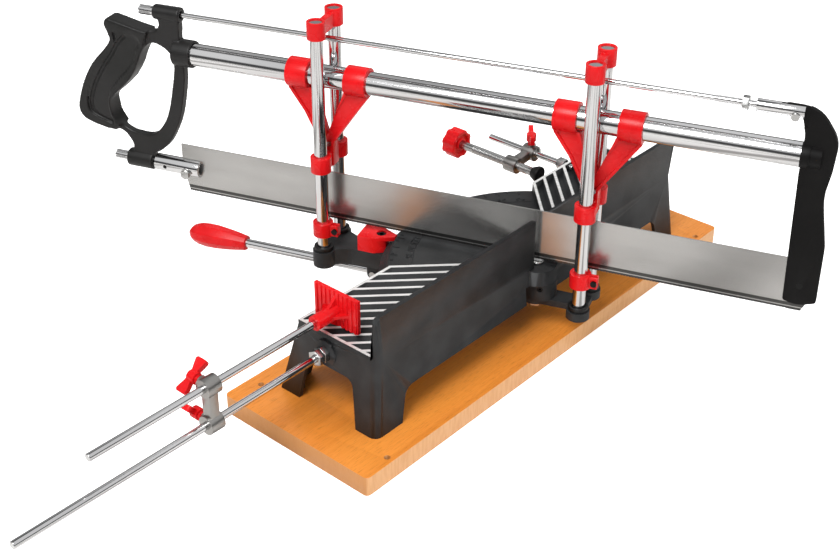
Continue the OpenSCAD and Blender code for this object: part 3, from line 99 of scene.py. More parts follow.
class Value:
    """A number that changes over a surface, with Python arithmetic."""

    def __init__(self, owner: "NodeTree", socket: bpy.types.NodeSocket) -> None:
        """Keeps the tree that the number belongs to.

        Args:
            owner: The tree that holds the nodes.
            socket: The output socket that carries the number.
        """
        self.owner = owner
        self.socket = socket

    def _math(self, operation: str, first: Number, second: Number = 0.0) -> "Value":
        """Adds one Math node.

        Args:
            operation: Blender's name of the operation.
            first: First operand.
            second: Second operand.

        Returns:
            The result as a value.
        """
        return self.owner.node("ShaderNodeMath", {"operation": operation}, {0: first, 1: second})

    def __add__(self, other: Number) -> "Value":
        """Sum."""
        return self._math("ADD", self, other)

    def __radd__(self, other: Number) -> "Value":
        """Sum with the number first."""
        return self._math("ADD", other, self)

    def __sub__(self, other: Number) -> "Value":
        """Difference."""
        return self._math("SUBTRACT", self, other)

    def __rsub__(self, other: Number) -> "Value":
        """Difference with the number first."""
        return self._math("SUBTRACT", other, self)

    def __mul__(self, other: Number) -> "Value":
        """Product."""
        return self._math("MULTIPLY", self, other)

    def __rmul__(self, other: Number) -> "Value":
        """Product with the number first."""
        return self._math("MULTIPLY", other, self)

    def __gt__(self, other: Number) -> "Value":
        """One where this value is the larger, and zero elsewhere."""
        return self._math("GREATER_THAN", self, other)

    def __lt__(self, other: Number) -> "Value":
        """One where this value is the smaller, and zero elsewhere."""
        return self._math("LESS_THAN", self, other)

    def apart(self, half: float) -> "Value":
        """One near zero, falling smoothly to zero at a half width.

        Args:
            half: Half width of the band, whose inner half is flat.

        Returns:
            The band as a value.
        """
        distance = self._math("ABSOLUTE", self)
        return 1.0 - distance.ramp(half * 0.5, half)

    def ramp(self, low: float, high: float) -> "Value":
        """Zero at low, one at high and smooth between.

        Args:
            low: Value that gives zero.
            high: Value that gives one.

        Returns:
            The remapped value.
        """
        settings = {"interpolation_type": "SMOOTHSTEP"}
        inputs = {"Value": self, "From Min": low, "From Max": high}
        return self.owner.node("ShaderNodeMapRange", settings, inputs)

    def sine(self) -> "Value":
        """Sine of an angle in radians."""
        return self._math("SINE", self)


class NodeTree:
    """Nodes of a material or a world under construction."""

    def __init__(self, tree: bpy.types.NodeTree) -> None:
        """Keeps the tree.

        Args:
            tree: Blender's node tree.
        """
        self.tree = tree

    def node(
        self,
        kind: str,
        settings: Dict[str, Any],
        inputs: Dict[Any, Any],
        output: Any = 0,
    ) -> Value:
        """Adds any node.

        Args:
            kind: Blender's type name of the node.
            settings: Properties that are set before the sockets.
            inputs: Numbers, vectors or values by socket name or place.
            output: Name or place of the output that is returned.

        Returns:
            The chosen output as a value.
        """
        made = self.tree.nodes.new(kind)
        for name, setting in settings.items():
            setattr(made, name, setting)
        for name, value in inputs.items():
            if isinstance(value, Value):
                self.tree.links.new(value.socket, made.inputs[name])
            else:
                made.inputs[name].default_value = value
        return Value(self, made.outputs[output])

    def part(self, vector: Value, axis: Axis) -> Value:
        """One coordinate of a vector.

        Args:
            vector: The vector value.
            axis: Which coordinate.

        Returns:
            The coordinate as a value.
        """
        return self.node("ShaderNodeSeparateXYZ", {}, {0: vector}, axis.value)

    def ray(self, kind: str) -> Value:
        """One for rays of a kind, and zero for the others.

        Args:
            kind: Camera or Glossy.

        Returns:
            The answer as a value.
        """
        return self.node("ShaderNodeLightPath", {}, {}, f"Is {kind} Ray")


class Shader(NodeTree):
    """A procedural material under construction."""

    def __init__(self, name: str) -> None:
        """Starts an empty Principled material.

        Args:
            name: Name of the material.
        """
        self.material = bpy.data.materials.new(name)
        self.material.use_nodes = True
        super().__init__(self.material.node_tree)
        self.surface = self.tree.nodes["Principled BSDF"]

    def place(self, turn: float = 0.0, scale: Sequence[float] = (1.0, 1.0, 1.0)) -> Value:
        """Object coordinates, turned about Z and scaled.

        Args:
            turn: Turn about Z in radians.
            scale: Scale along the turned axes.

        Returns:
            The coordinates as a vector value.
        """
        here = self.node("ShaderNodeTexCoord", {}, {}, "Object")
        turned = self.node("ShaderNodeMapping", {}, {"Vector": here, "Rotation": (0.0, 0.0, turn)})
        return self.node("ShaderNodeMapping", {}, {"Vector": turned, "Scale": tuple(scale)})

    def facing(self, axis: Axis) -> Value:
        """One coordinate of the surface normal, in the model's frame."""
        normal = self.node("ShaderNodeNewGeometry", {}, {}, "Normal")
        return self.part(normal, axis)

    def noise(self, vector: Value, scale: float, detail: float = 3.0, roughness: float = 0.5) -> Value:
        """Smooth noise between about 0.3 and 0.7.

        Args:
            vector: Where the noise is read.
            scale: Waves per metre.
            detail: Number of finer layers.
            roughness: Strength of the finer layers.

        Returns:
            The noise as a value.
        """
        inputs = {"Vector": vector, "Scale": scale, "Detail": detail, "Roughness": roughness}
        return self.node("ShaderNodeTexNoise", {}, inputs)

    def mix(self, share: Number, low: Any, high: Any) -> Value:
        """Blend of two colours.

        Args:
            share: Share of the second colour.
            low: First colour.
            high: Second colour.

        Returns:
            The blended colour.
        """
        first, second = [value if isinstance(value, Value) else (*value, 1.0) for value in (low, high)]
        inputs = {MIX_SHARE: share, MIX_LOW: first, MIX_HIGH: second}
        return self.node("ShaderNodeMix", {"data_type": "RGBA"}, inputs, MIX_RESULT)

    def set(self, **sockets: Any) -> None:
        """Sets or links sockets of the surface.

        Args:
            **sockets: Socket names with underscores for spaces.
        """
        for name, value in sockets.items():
            socket = self.surface.inputs[name.replace("_", " ")]
            if isinstance(value, Value):
                self.tree.links.new(value.socket, socket)
            else:
                socket.default_value = (*value, 1.0) if isinstance(value, tuple) else value

    def bump(self, height: Value, strength: float, distance: float) -> None:
        """Feeds the surface normal from a height.

        Args:
            height: Height over the surface.
            strength: Strength of the bump.
            distance: Height in metres of a full step.
        """
        inputs = {"Height": height, "Strength": strength, "Distance": distance}
        self.set(Normal=self.node("ShaderNodeBump", {}, inputs))


def linear(hex_color: str) -> Color:
    """Turns a written sRGB colour such as e8222b into linear values.

    Args:
        hex_color: Six hexadecimal digits.

    Returns:
        Linear red, green and blue.
    """
    knee = 0.04045
    shares = [int(hex_color[place : place + 2], 16) / 255 for place in (0, 2, 4)]
    return tuple(share / 12.92 if share <= knee else ((share + 0.055) / 1.055) ** 2.4 for share in shares)


# Finishes


@dataclass(frozen=True)
class MouldedPlastic:
    """Moulded plastic with a fine skin and slight colour drift.

    Scales are in waves per metre.
    """

    name: str
    color: str
    deep_color: str
    roughness: float
    grain: float
    grain_height: float = 0.04 * MM
    grain_strength: float = 0.35
    shine: float = 0.3
    drift_scale: float = 22.0
    wear_scale: float = 60.0
    wear: float = 0.12

    def material(self) -> bpy.types.Material:
        """Builds the material."""
        shader = Shader(self.name)
        place = shader.place()
        drift = shader.noise(place, self.drift_scale, 4.0).ramp(0.35, 0.65)
        skin = shader.noise(place, self.grain)
        shader.set(
            Base_Color=shader.mix(drift, linear(self.color), linear(self.deep_color)),
            Roughness=shader.noise(place, self.wear_scale) * self.wear + (self.roughness - self.wear / 2),
            Specular_IOR_Level=self.shine,
        )
        shader.bump(skin, self.grain_strength, self.grain_height)
        return shader.material


@dataclass(frozen=True)
class PolishedMetal:
    """Plated or turned metal with faint smears."""

    name: str
    color: str
    roughness: float
    smear: float = 0.08
    smear_scale: float = 30.0
    tone_scale: float = 9.0
    dull_share: float = 0.86
    skin_scale: float = 500.0
    skin_height: float = 0.02 * MM

    def material(self) -> bpy.types.Material:
        """Builds the material."""
        shader = Shader(self.name)
        place = shader.place()
        smears = shader.noise(place, self.smear_scale, 4.0, 0.6)
        tone = shader.noise(place, self.tone_scale, 2.0)
        bright = linear(self.color)
        dull = tuple(self.dull_share * share for share in bright)
        shader.set(
            Metallic=1.0,
            Base_Color=shader.mix(tone.ramp(0.3, 0.7), dull, bright),
            Roughness=smears * self.smear + (self.roughness - self.smear / 2),
        )
        shader.bump(shader.noise(place, self.skin_scale, 2.0), 0.1, self.skin_height)
        return shader.material


@dataclass(frozen=True)
class CastAluminium:
    """Black painted casting whose top faces at one height are ground bright."""

    name: str
    color: str
    light_color: str
    ground_height: float
    ground_margin: float = 0.15 * MM
    ground_color: str = "f2f2f0"
    ground_deep: str = "d8d8d6"
    scratch_turn: float = radians(45.0)
    scratch_scales: Scales = (40.0, 600.0, 1.0)
    cast_scale: float = 1400.0
    cast_height: float = 0.1 * MM
    blotch_scale: float = 35.0

    def material(self) -> bpy.types.Material:
        """Builds the material."""
        shader = Shader(self.name)
        place = shader.place()
        height = shader.part(place, Axis.UP)
        above = height > self.ground_height - self.ground_margin
        below = height < self.ground_height + self.ground_margin
        ground = above * below * (shader.facing(Axis.UP) > 0.9)
        scratch = shader.noise(shader.place(self.scratch_turn, self.scratch_scales), 1.0)
        cast = shader.noise(place, self.cast_scale, 4.0, 0.6)
        blotch = shader.noise(place, self.blotch_scale).ramp(0.35, 0.7)
        paint = shader.mix(blotch, linear(self.color), linear(self.light_color))
        bright = shader.mix(scratch.ramp(0.3, 0.7), linear(self.ground_deep), linear(self.ground_color))
        shader.set(
            Base_Color=shader.mix(ground, paint, bright),
            Metallic=ground * 0.35,
            Roughness=cast * 0.2 + 0.4,
            Specular_IOR_Level=0.35,
        )
        shader.bump(cast, 0.5, self.cast_height)
        return shader.material


@dataclass(frozen=True)
class BeechBoard:
    """Oiled beech: fine dashes on the flats, and paler edges.

    Scales are in waves per metre along the board, across it and upwards.
    """

    name: str
    top: str = "e8923a"
    top_deep: str = "d47a26"
    dash: str = "a65c14"
    edge: str = "dda873"
    edge_deep: str = "cf9158"
    end: str = "b9793a"
    flow_scales: Scales = (3.0, 18.0, 18.0)
    dash_scales: Scales = (110.0, 1500.0, 1500.0)
    streak_scales: Scales = (16.0, 420.0, 420.0)
    hatch_scales: Scales = (520.0, 520.0, 60.0)
    pore_depth: float = 0.08 * MM

    def material(self) -> bpy.types.Material:
        """Builds the material."""
        shader = Shader(self.name)
        flow = shader.noise(shader.place(scale=self.flow_scales), 1.0).ramp(0.3, 0.7)
        dashes = shader.noise(shader.place(scale=self.dash_scales), 1.0, 2.0).ramp(0.55, 0.68)
        streaks = shader.noise(shader.place(scale=self.streak_scales), 1.0, 4.0, 0.6).ramp(0.35, 0.7)
        hatch = shader.noise(shader.place(scale=self.hatch_scales), 1.0, 2.0).ramp(0.4, 0.65)
        flat = shader.mix(flow * 0.55 + streaks * 0.3, linear(self.top), linear(self.top_deep))
        flat = shader.mix(dashes * 0.45, flat, linear(self.dash))
        rim = shader.mix(hatch * 0.55, linear(self.edge), linear(self.edge_deep))
        across = shader.facing(Axis.ACROSS)
        rim = shader.mix((across * across).ramp(0.3, 0.8) * 0.8, rim, linear(self.end))
        up = shader.facing(Axis.UP)
        is_flat = (up * up).ramp(0.35, 0.75)
        shader.set(
            Base_Color=shader.mix(is_flat, rim, flat),
            Roughness=streaks * 0.12 + 0.4,
            Coat_Weight=0.08,
            Coat_Roughness=0.3,
        )
        shader.bump(dashes * -1.0 + streaks * 0.3, 0.25, self.pore_depth)
        return shader.material


@dataclass(frozen=True)
class BrushedBlade:
    """Blade steel brushed along its length, with a dark band over the teeth."""

    name: str
    tooth_line: float
    tooth_height: float = 2.2 * MM
    band_low: float = 3.1 * MM
    band_high: float = 6.2 * MM
    steel: str = "bab9b7"
    steel_deep: str = "a9a8a6"
    band_color: str = "363635"
    tip_color: str = "2e2e2d"
    brush_scales: Scales = (900.0, 4.0, 1800.0)
    cloud_scales: Scales = (12.0, 9.0, 30.0)
    brush_depth: float = 0.02 * MM

    def material(self) -> bpy.types.Material:
        """Builds the material."""
        shader = Shader(self.name)
        height = shader.part(shader.place(), Axis.UP) - self.tooth_line
        band = (height > self.band_low) * (height < self.band_high)
        tips = height < self.tooth_height
        brush = shader.noise(shader.place(-SAW_TURN, self.brush_scales), 1.0, 2.0)
        clouds = shader.noise(shader.place(-SAW_TURN, self.cloud_scales), 1.0)
        steel = shader.mix(clouds.ramp(0.3, 0.7), linear(self.steel_deep), linear(self.steel))
        color = shader.mix(band * 0.9, steel, linear(self.band_color))
        color = shader.mix(tips * 0.9, color, linear(self.tip_color))
        shader.set(Metallic=0.9, Base_Color=color, Roughness=brush * 0.1 + 0.19)
        shader.bump(brush, 0.05, self.brush_depth)
        return shader.material


@dataclass(frozen=True)
class FloorPaper:
    """Plain pale floor, white to the camera, that metal mirrors as warm grey with dark bars."""

    name: str
    color: Color = (0.92, 0.92, 0.92)
    grain_scale: float = 40.0
    grain_share: float = 0.985
    mirrored: Color = (0.76, 0.745, 0.725)
    dark_mirrored: Color = (0.16, 0.15, 0.14)
    bars_per_metre: float = 3.4
    view_turn: float = radians(-131.0)
    bar_depth: float = 0.75
    lift: float = 0.62
    seen_glow: Color = (1.0, 1.0, 1.0)
    soft_glow: Color = (0.08, 0.08, 0.08)

    def material(self) -> bpy.types.Material:
        """Builds the material."""
        shader = Shader(self.name)
        grain = shader.noise(shader.place(), self.grain_scale)
        dull = tuple(self.grain_share * share for share in self.color)
        sideways = shader.part(shader.place(self.view_turn), Axis.ACROSS)
        wave = (sideways * (2 * pi * self.bars_per_metre)).sine()
        room = shader.mix(wave.ramp(0.55, 0.95) * self.bar_depth, self.mirrored, self.dark_mirrored)
        shader.set(
            Base_Color=shader.mix(shader.ray("Glossy"), shader.mix(grain, self.color, dull), room),
            Roughness=0.9,
            Specular_IOR_Level=0.0,
            Emission_Color=shader.mix(shader.ray("Camera"), self.soft_glow, self.seen_glow),
            Emission_Strength=self.lift,
        )
        return shader.material


def build_finishes(tooth_line: float) -> Dict[str, bpy.types.Material]:
    """Builds every material of the saw once.

    Args:
        tooth_line: Height of the blade's lowest edge.

    Returns:
        The materials by the record's slot name.
    """
    finishes = (
        BeechBoard("beech"),
        CastAluminium("black_casting", "1f2021", "2d2e2f", RIB_TOP),
        MouldedPlastic("black_paint", "090808", "0e0d0d", roughness=0.5, grain=1200.0, shine=0.15),
        MouldedPlastic("black_plastic", "121212", "1c1b1b", roughness=0.4, grain=900.0),
        MouldedPlastic(
            "handle_plastic",
            "161615",
            "1f1e1e",
            roughness=0.4,
            grain=1800.0,
            grain_height=0.05 * MM,
        ),
        MouldedPlastic(
            "red_plastic",
            "da161b",
            "c50d12",
            roughness=0.27,
            grain=500.0,
            grain_height=0.03 * MM,
            shine=0.22,
        ),
        PolishedMetal("chrome", "dededf", roughness=0.1),
        PolishedMetal("zinc_steel", "bdbdbc", roughness=0.25, smear=0.15),
        PolishedMetal("zinc_casting", "a5a3a0", roughness=0.3, smear=0.2),
        BrushedBlade("blade_steel", tooth_line),
        PolishedMetal("dark_steel", "2a2a2a", roughness=0.35, smear=0.1),
    )
    return {finish.name: finish.material() for finish in finishes}


# Mesh helpers


def deselect_all() -> None:
    """Leaves nothing selected."""
    if bpy.context.object and bpy.context.object.mode != "OBJECT":
        bpy.ops.object.mode_set(mode="OBJECT")
    bpy.ops.object.select_all(action="DESELECT")


def activate(piece: bpy.types.Object) -> None:
    """Selects one object alone and makes it active."""
    deselect_all()
    piece.select_set(True)
    bpy.context.view_layer.objects.active = piece


def settle(piece: bpy.types.Object, smooth_angle: float = 35.0) -> bpy.types.Object:
    """Applies place, turn, scale and modifiers, and shades the piece.

    Args:
        piece: The finished piece.
        smooth_angle: Edges flatter than this many degrees are smooth.

    Returns:
        The same piece.
    """
    activate(piece)
    bpy.ops.object.transform_apply(location=True, rotation=True, scale=True)
    for modifier in list(piece.modifiers):
        bpy.ops.object.modifier_apply(modifier=modifier.name)
    bpy.ops.object.shade_smooth_by_angle(angle=radians(smooth_angle))
    return piece


def merge_corners(piece: bpy.types.Object, distance: float) -> None:
    """Merges the corners of a piece that lie on one another.

    Args:
        piece: The piece, which is left active.
        distance: Corners nearer than this are merged.
    """
    activate(piece)
    bpy.ops.object.mode_set(mode="EDIT")
    bpy.ops.mesh.select_all(action="SELECT")
    bpy.ops.mesh.remove_doubles(threshold=distance)
    bpy.ops.object.mode_set(mode="OBJECT")


def saw_point(across: float, along: float, up: float) -> Vector:
    """Place given in the saw's own directions.

    Args:
        across: Distance to the right of the blade.
        along: Distance along the blade, towards the fence side.
        up: Height.

    Returns:
        The place in the model's frame.
    """
    return Matrix.Rotation(SAW_TURN, 4, "Z") @ Vector((across, along, up))


@dataclass(frozen=True)
class Corners:
    """Upright edges that are rounded more than the rest of a node.

    Edges count whose rise lies in one of the spans, that stand at least `out` from
    the middle plane, and whose place along the board's short side lies in the strip.
    """

    width: float
    out: float
    rises: Tuple[Tuple[float, float], ...]
    strip: Tuple[float, float]
    upright_share: float = 0.8
    steps: int = 6

    def holds(self, start: Vector, end: Vector) -> bool:
        """Tells whether an edge counts.

        Args:
            start: First end of the edge.
            end: Second end of the edge.

        Returns:
            True for an edge that is rounded.
        """
        way = end - start
        rise = abs(way.z)
        if rise < self.upright_share * way.length or min(abs(start.x), abs(end.x)) < self.out:
            return False
        first, last = self.strip
        fits = any(least <= rise <= most for least, most in self.rises)
        return fits and first <= min(start.y, end.y) and max(start.y, end.y) <= last

    def round(self, piece: bpy.types.Object) -> None:
        """Rounds the edges of a piece.

        Args:
            piece: The piece, in object mode.
        """
        activate(piece)
        bpy.ops.object.mode_set(mode="EDIT")
        bpy.ops.mesh.select_mode(type="EDGE")
        bpy.ops.mesh.select_all(action="DESELECT")
        bpy.ops.object.mode_set(mode="OBJECT")
        corners = piece.data.vertices
        for edge in piece.data.edges:
            start, end = (corners[index].co for index in edge.vertices)
            edge.select = self.holds(start, end)
        LOG.info("%s: %d corner edges", piece.name, sum(edge.select for edge in piece.data.edges))
        bpy.ops.object.mode_set(mode="EDIT")
        bpy.ops.mesh.bevel(offset=self.width, segments=self.steps, affect="EDGES", clamp_overlap=False)
        bpy.ops.mesh.select_mode(type="VERT")
        bpy.ops.object.mode_set(mode="OBJECT")


def softened(node: bpy.types.Object, width: float, corners: Optional[Corners] = None) -> bpy.types.Object:
    """Copies a node and rounds its sharp edges.

    Args:
        node: The CAD node.
        width: Width of the rounding.
        corners: Edges that are rounded more.

    Returns:
        The rounded copy.
    """
    flat_angle = 0.6
    sharp_angle = 32.0
    smooth_angle = 30.0
    rounding_steps = 3
    copy = merged_copy(node, "rounded")
    bpy.ops.object.mode_set(mode="EDIT")
    bpy.ops.mesh.select_all(action="SELECT")
    bpy.ops.mesh.dissolve_limited(angle_limit=radians(flat_angle))
    bpy.ops.object.mode_set(mode="OBJECT")
    if corners:
        corners.round(copy)
    bevel = copy.modifiers.new("rounding", "BEVEL")
    bevel.width = width
    bevel.segments = rounding_steps
    bevel.limit_method = "ANGLE"
    bevel.angle_limit = radians(sharp_angle)
    bevel.use_clamp_overlap = True
    return settle(copy, smooth_angle)


def merged_copy(node: bpy.types.Object, ending: str) -> bpy.types.Object:
    """Copies a node and joins its loose triangles.

    Args:
        node: The CAD node.
        ending: Ending of the copy's name.

    Returns:
        The copy, active.
    """
    copy = bpy.data.objects.new(f"{node.name}_{ending}", node.data.copy())
    bpy.context.scene.collection.objects.link(copy)
    merge_corners(copy, 0.002 * MM)
    return copy


def joined(name: str, parts: Sequence[bpy.types.Object]) -> bpy.types.Object:
    """Joins parts into one piece.

    Args:
        name: Name of the piece.
        parts: The parts, which are used up.

    Returns:
        The piece.
    """
    deselect_all()
    for part in parts:
        part.select_set(True)
    bpy.context.view_layer.objects.active = parts[0]
    bpy.ops.object.join()
    piece = bpy.context.object
    piece.name = name
    return piece


def along_saw(across: float, along: float, up: float) -> Matrix:
    """Turn and place that lay a piece's +Z along the blade, towards the fence side.

    Args:
        across: Distance to the right of the blade.
        along: Distance along the blade.
        up: Height.

    Returns:
        The matrix.
    """
    place = Matrix.Translation(saw_point(across, along, up))
    return place @ Matrix.Rotation(SAW_TURN, 4, "Z") @ Matrix.Rotation(radians(-90.0), 4, "X")


def dress(piece: bpy.types.Object, material: bpy.types.Material) -> None:
    """Gives a piece one material on all its faces."""
    piece.data.materials.clear()
    piece.data.materials.append(material)
    for face in piece.data.polygons:
        face.material_index = 0


# Sub-assemblies


@dataclass
class RoundedPieces:
    """Nodes whose edges are rounded, with the rounding in millimetres."""

    widths: Dict[str, float] = field(
        default_factory=lambda: {
            "base_board": 0.8,
            "table_casting": 0.5,
            "swivel_arm": 1.2,
            "boss_rings": 0.6,
            "pointer_block": 0.9,
            "front_yoke_cap": 0.8,
            "rear_yoke_cap": 0.8,
            "front_carrier": 0.7,
            "rear_carrier": 0.7,
            "front_depth_stop": 0.9,
            "rear_depth_stop": 0.9,
            "end_plate": 0.9,
            "clevis": 0.5,
            "blade_carrier": 0.4,
            "blade_bolt": 0.3,
            "tension_screw": 0.4,
            "blade_screw": 0.4,
            "lock_nut": 0.4,
            "length_stop_nuts": 0.5,
            "clamp_rod_nut": 0.5,
            "stop_bracket": 0.8,
            "upper_wing_screw": 0.9,
            "lower_wing_screw": 0.9,
            "clamp_wing_screw": 0.9,
            "stop_plate": 0.35,
            "clamp_bracket": 0.8,
            "clamp_knob": 2.4,
            "clamp_pad": 0.5,
            "length_stop_rod": 0.5,
            "stop_slide_rod": 0.5,
            "clamp_rod": 0.5,
            "swivel_bolt": 0.8,
        }
    )

    corners: Dict[str, Corners] = field(
        default_factory=lambda: {
            "base_board": Corners(
                width=4.0 * MM,
                out=240.0 * MM,
                rises=((10.0 * MM, 20.0 * MM),),
                strip=(-1.0, 1.0),
            ),
            "table_casting": Corners(
                width=7.0 * MM,
                out=199.0 * MM,
                rises=((33.0 * MM, 34.0 * MM), (63.0 * MM, 64.5 * MM)),
                strip=(3.9 * MM, 9.5 * MM),
            ),
        }
    )

    def build(self, nodes: Dict[str, bpy.types.Object]) -> Dict[str, bpy.types.Object]:
        """Replaces each node by its rounded copy.

        Args:
            nodes: The CAD nodes by name.

        Returns:
            The rounded pieces by node name.
        """
        pieces = {}
        for name, width in self.widths.items():
            piece = softened(nodes[name], width * MM, self.corners.get(name))
            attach(piece, nodes[name]["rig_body"])
            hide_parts(name)
            pieces[name] = piece
            LOG.info("rounded %s: %d faces", name, len(piece.data.polygons))
        return pieces


@dataclass
class DialScale:
    """Degree numbers, ticks and an arc that stand up from the dial."""

    top: float
    tick_reach: float = 122.4 * MM
    tick_length: float = 6.0 * MM
    short_tick_length: float = 3.2 * MM
    tick_width: float = 0.7 * MM
    rise: float = 0.55 * MM
    sunk: float = 0.3 * MM
    number_reach: float = 109.5 * MM
    number_size: float = 8.5 * MM
    ring_reach: float = 103.5 * MM
    ring_radius: float = 0.5 * MM
    ring_steps: int = 48
    ring_half_angle: float = 50.0
    numbers: Tuple[float, ...] = (-45, -36, -30, -22.5, 0, 22.5, 30, 36, 45)
    short_ticks: Tuple[int, ...] = tuple(range(-45, 50, 5))

    def spot(self, angle: float, reach: float) -> Matrix:
        """Turn and place of a mark on the dial.

        Args:
            angle: Degrees from square across the table.
            reach: Distance from the swivel axis.

        Returns:
            The matrix that moves a mark there.
        """
        return Matrix.Rotation(radians(angle), 4, "Z") @ Matrix.Translation((0.0, -reach, self.top))

    def tick(self, angle: float, length: float) -> bpy.types.Object:
        """Makes one raised tick.

        Args:
            angle: Degrees from square across the table.
            length: Length towards the axis.

        Returns:
            The tick.
        """
        deselect_all()
        bpy.ops.mesh.primitive_cube_add(size=1.0)
        tick = bpy.context.object
        tick.scale = (self.tick_width, length, self.rise + self.sunk)
        middle = Matrix.Translation((0.0, length / 2, (self.rise - self.sunk) / 2))
        tick.matrix_world = self.spot(angle, self.tick_reach) @ middle @ tick.matrix_basis
        return settle(tick)

    def number(self, angle: float) -> bpy.types.Object:
        """Makes one raised number.

        Args:
            angle: Degrees from square across the table.

        Returns:
            The number as a mesh.
        """
        deselect_all()
        bpy.ops.object.text_add()
        figures = bpy.context.object
        figures.data.body = f"{abs(angle):g}"
        figures.data.size = self.number_size
        figures.data.align_x = "CENTER"
        figures.data.extrude = self.rise
        bpy.ops.object.convert(target="MESH")
        number = bpy.context.object
        number.matrix_world = self.spot(angle, self.number_reach)
        merge_corners(number, 0.001 * MM)
        return settle(number)

    def ring(self) -> bpy.types.Object:
        """Makes the raised arc inside the numbers.

        Returns:
            The arc as a mesh.
        """
        deselect_all()
        curve = bpy.data.curves.new("dial_arc", "CURVE")
        curve.dimensions = "3D"
        curve.bevel_depth = self.ring_radius
        curve.use_fill_caps = True
        line = curve.splines.new("POLY")
        line.points.add(self.ring_steps)
        for step, point in enumerate(line.points):
            angle = radians(self.ring_half_angle * (2 * step / self.ring_steps - 1))
            point.co = (self.ring_reach * sin(angle), -self.ring_reach * cos(angle), self.top, 1.0)
        ring = bpy.data.objects.new("dial_arc", curve)
        bpy.context.scene.collection.objects.link(ring)
        activate(ring)
        bpy.ops.object.convert(target="MESH")
        return settle(bpy.context.object)

    def build(self) -> List[bpy.types.Object]:
        """Builds the marks: one piece of numbers, one of ticks and an arc.

        Returns:
            The three pieces.
        """
        numbers = joined("dial_numbers", [self.number(angle) for angle in self.numbers])
        ticks = [self.tick(angle, self.tick_length) for angle in self.numbers]
        between = [angle for angle in self.short_ticks if angle not in self.numbers]
        ticks += [self.tick(angle, self.short_tick_length) for angle in between]
        return [numbers, joined("dial_ticks", ticks), self.ring()]


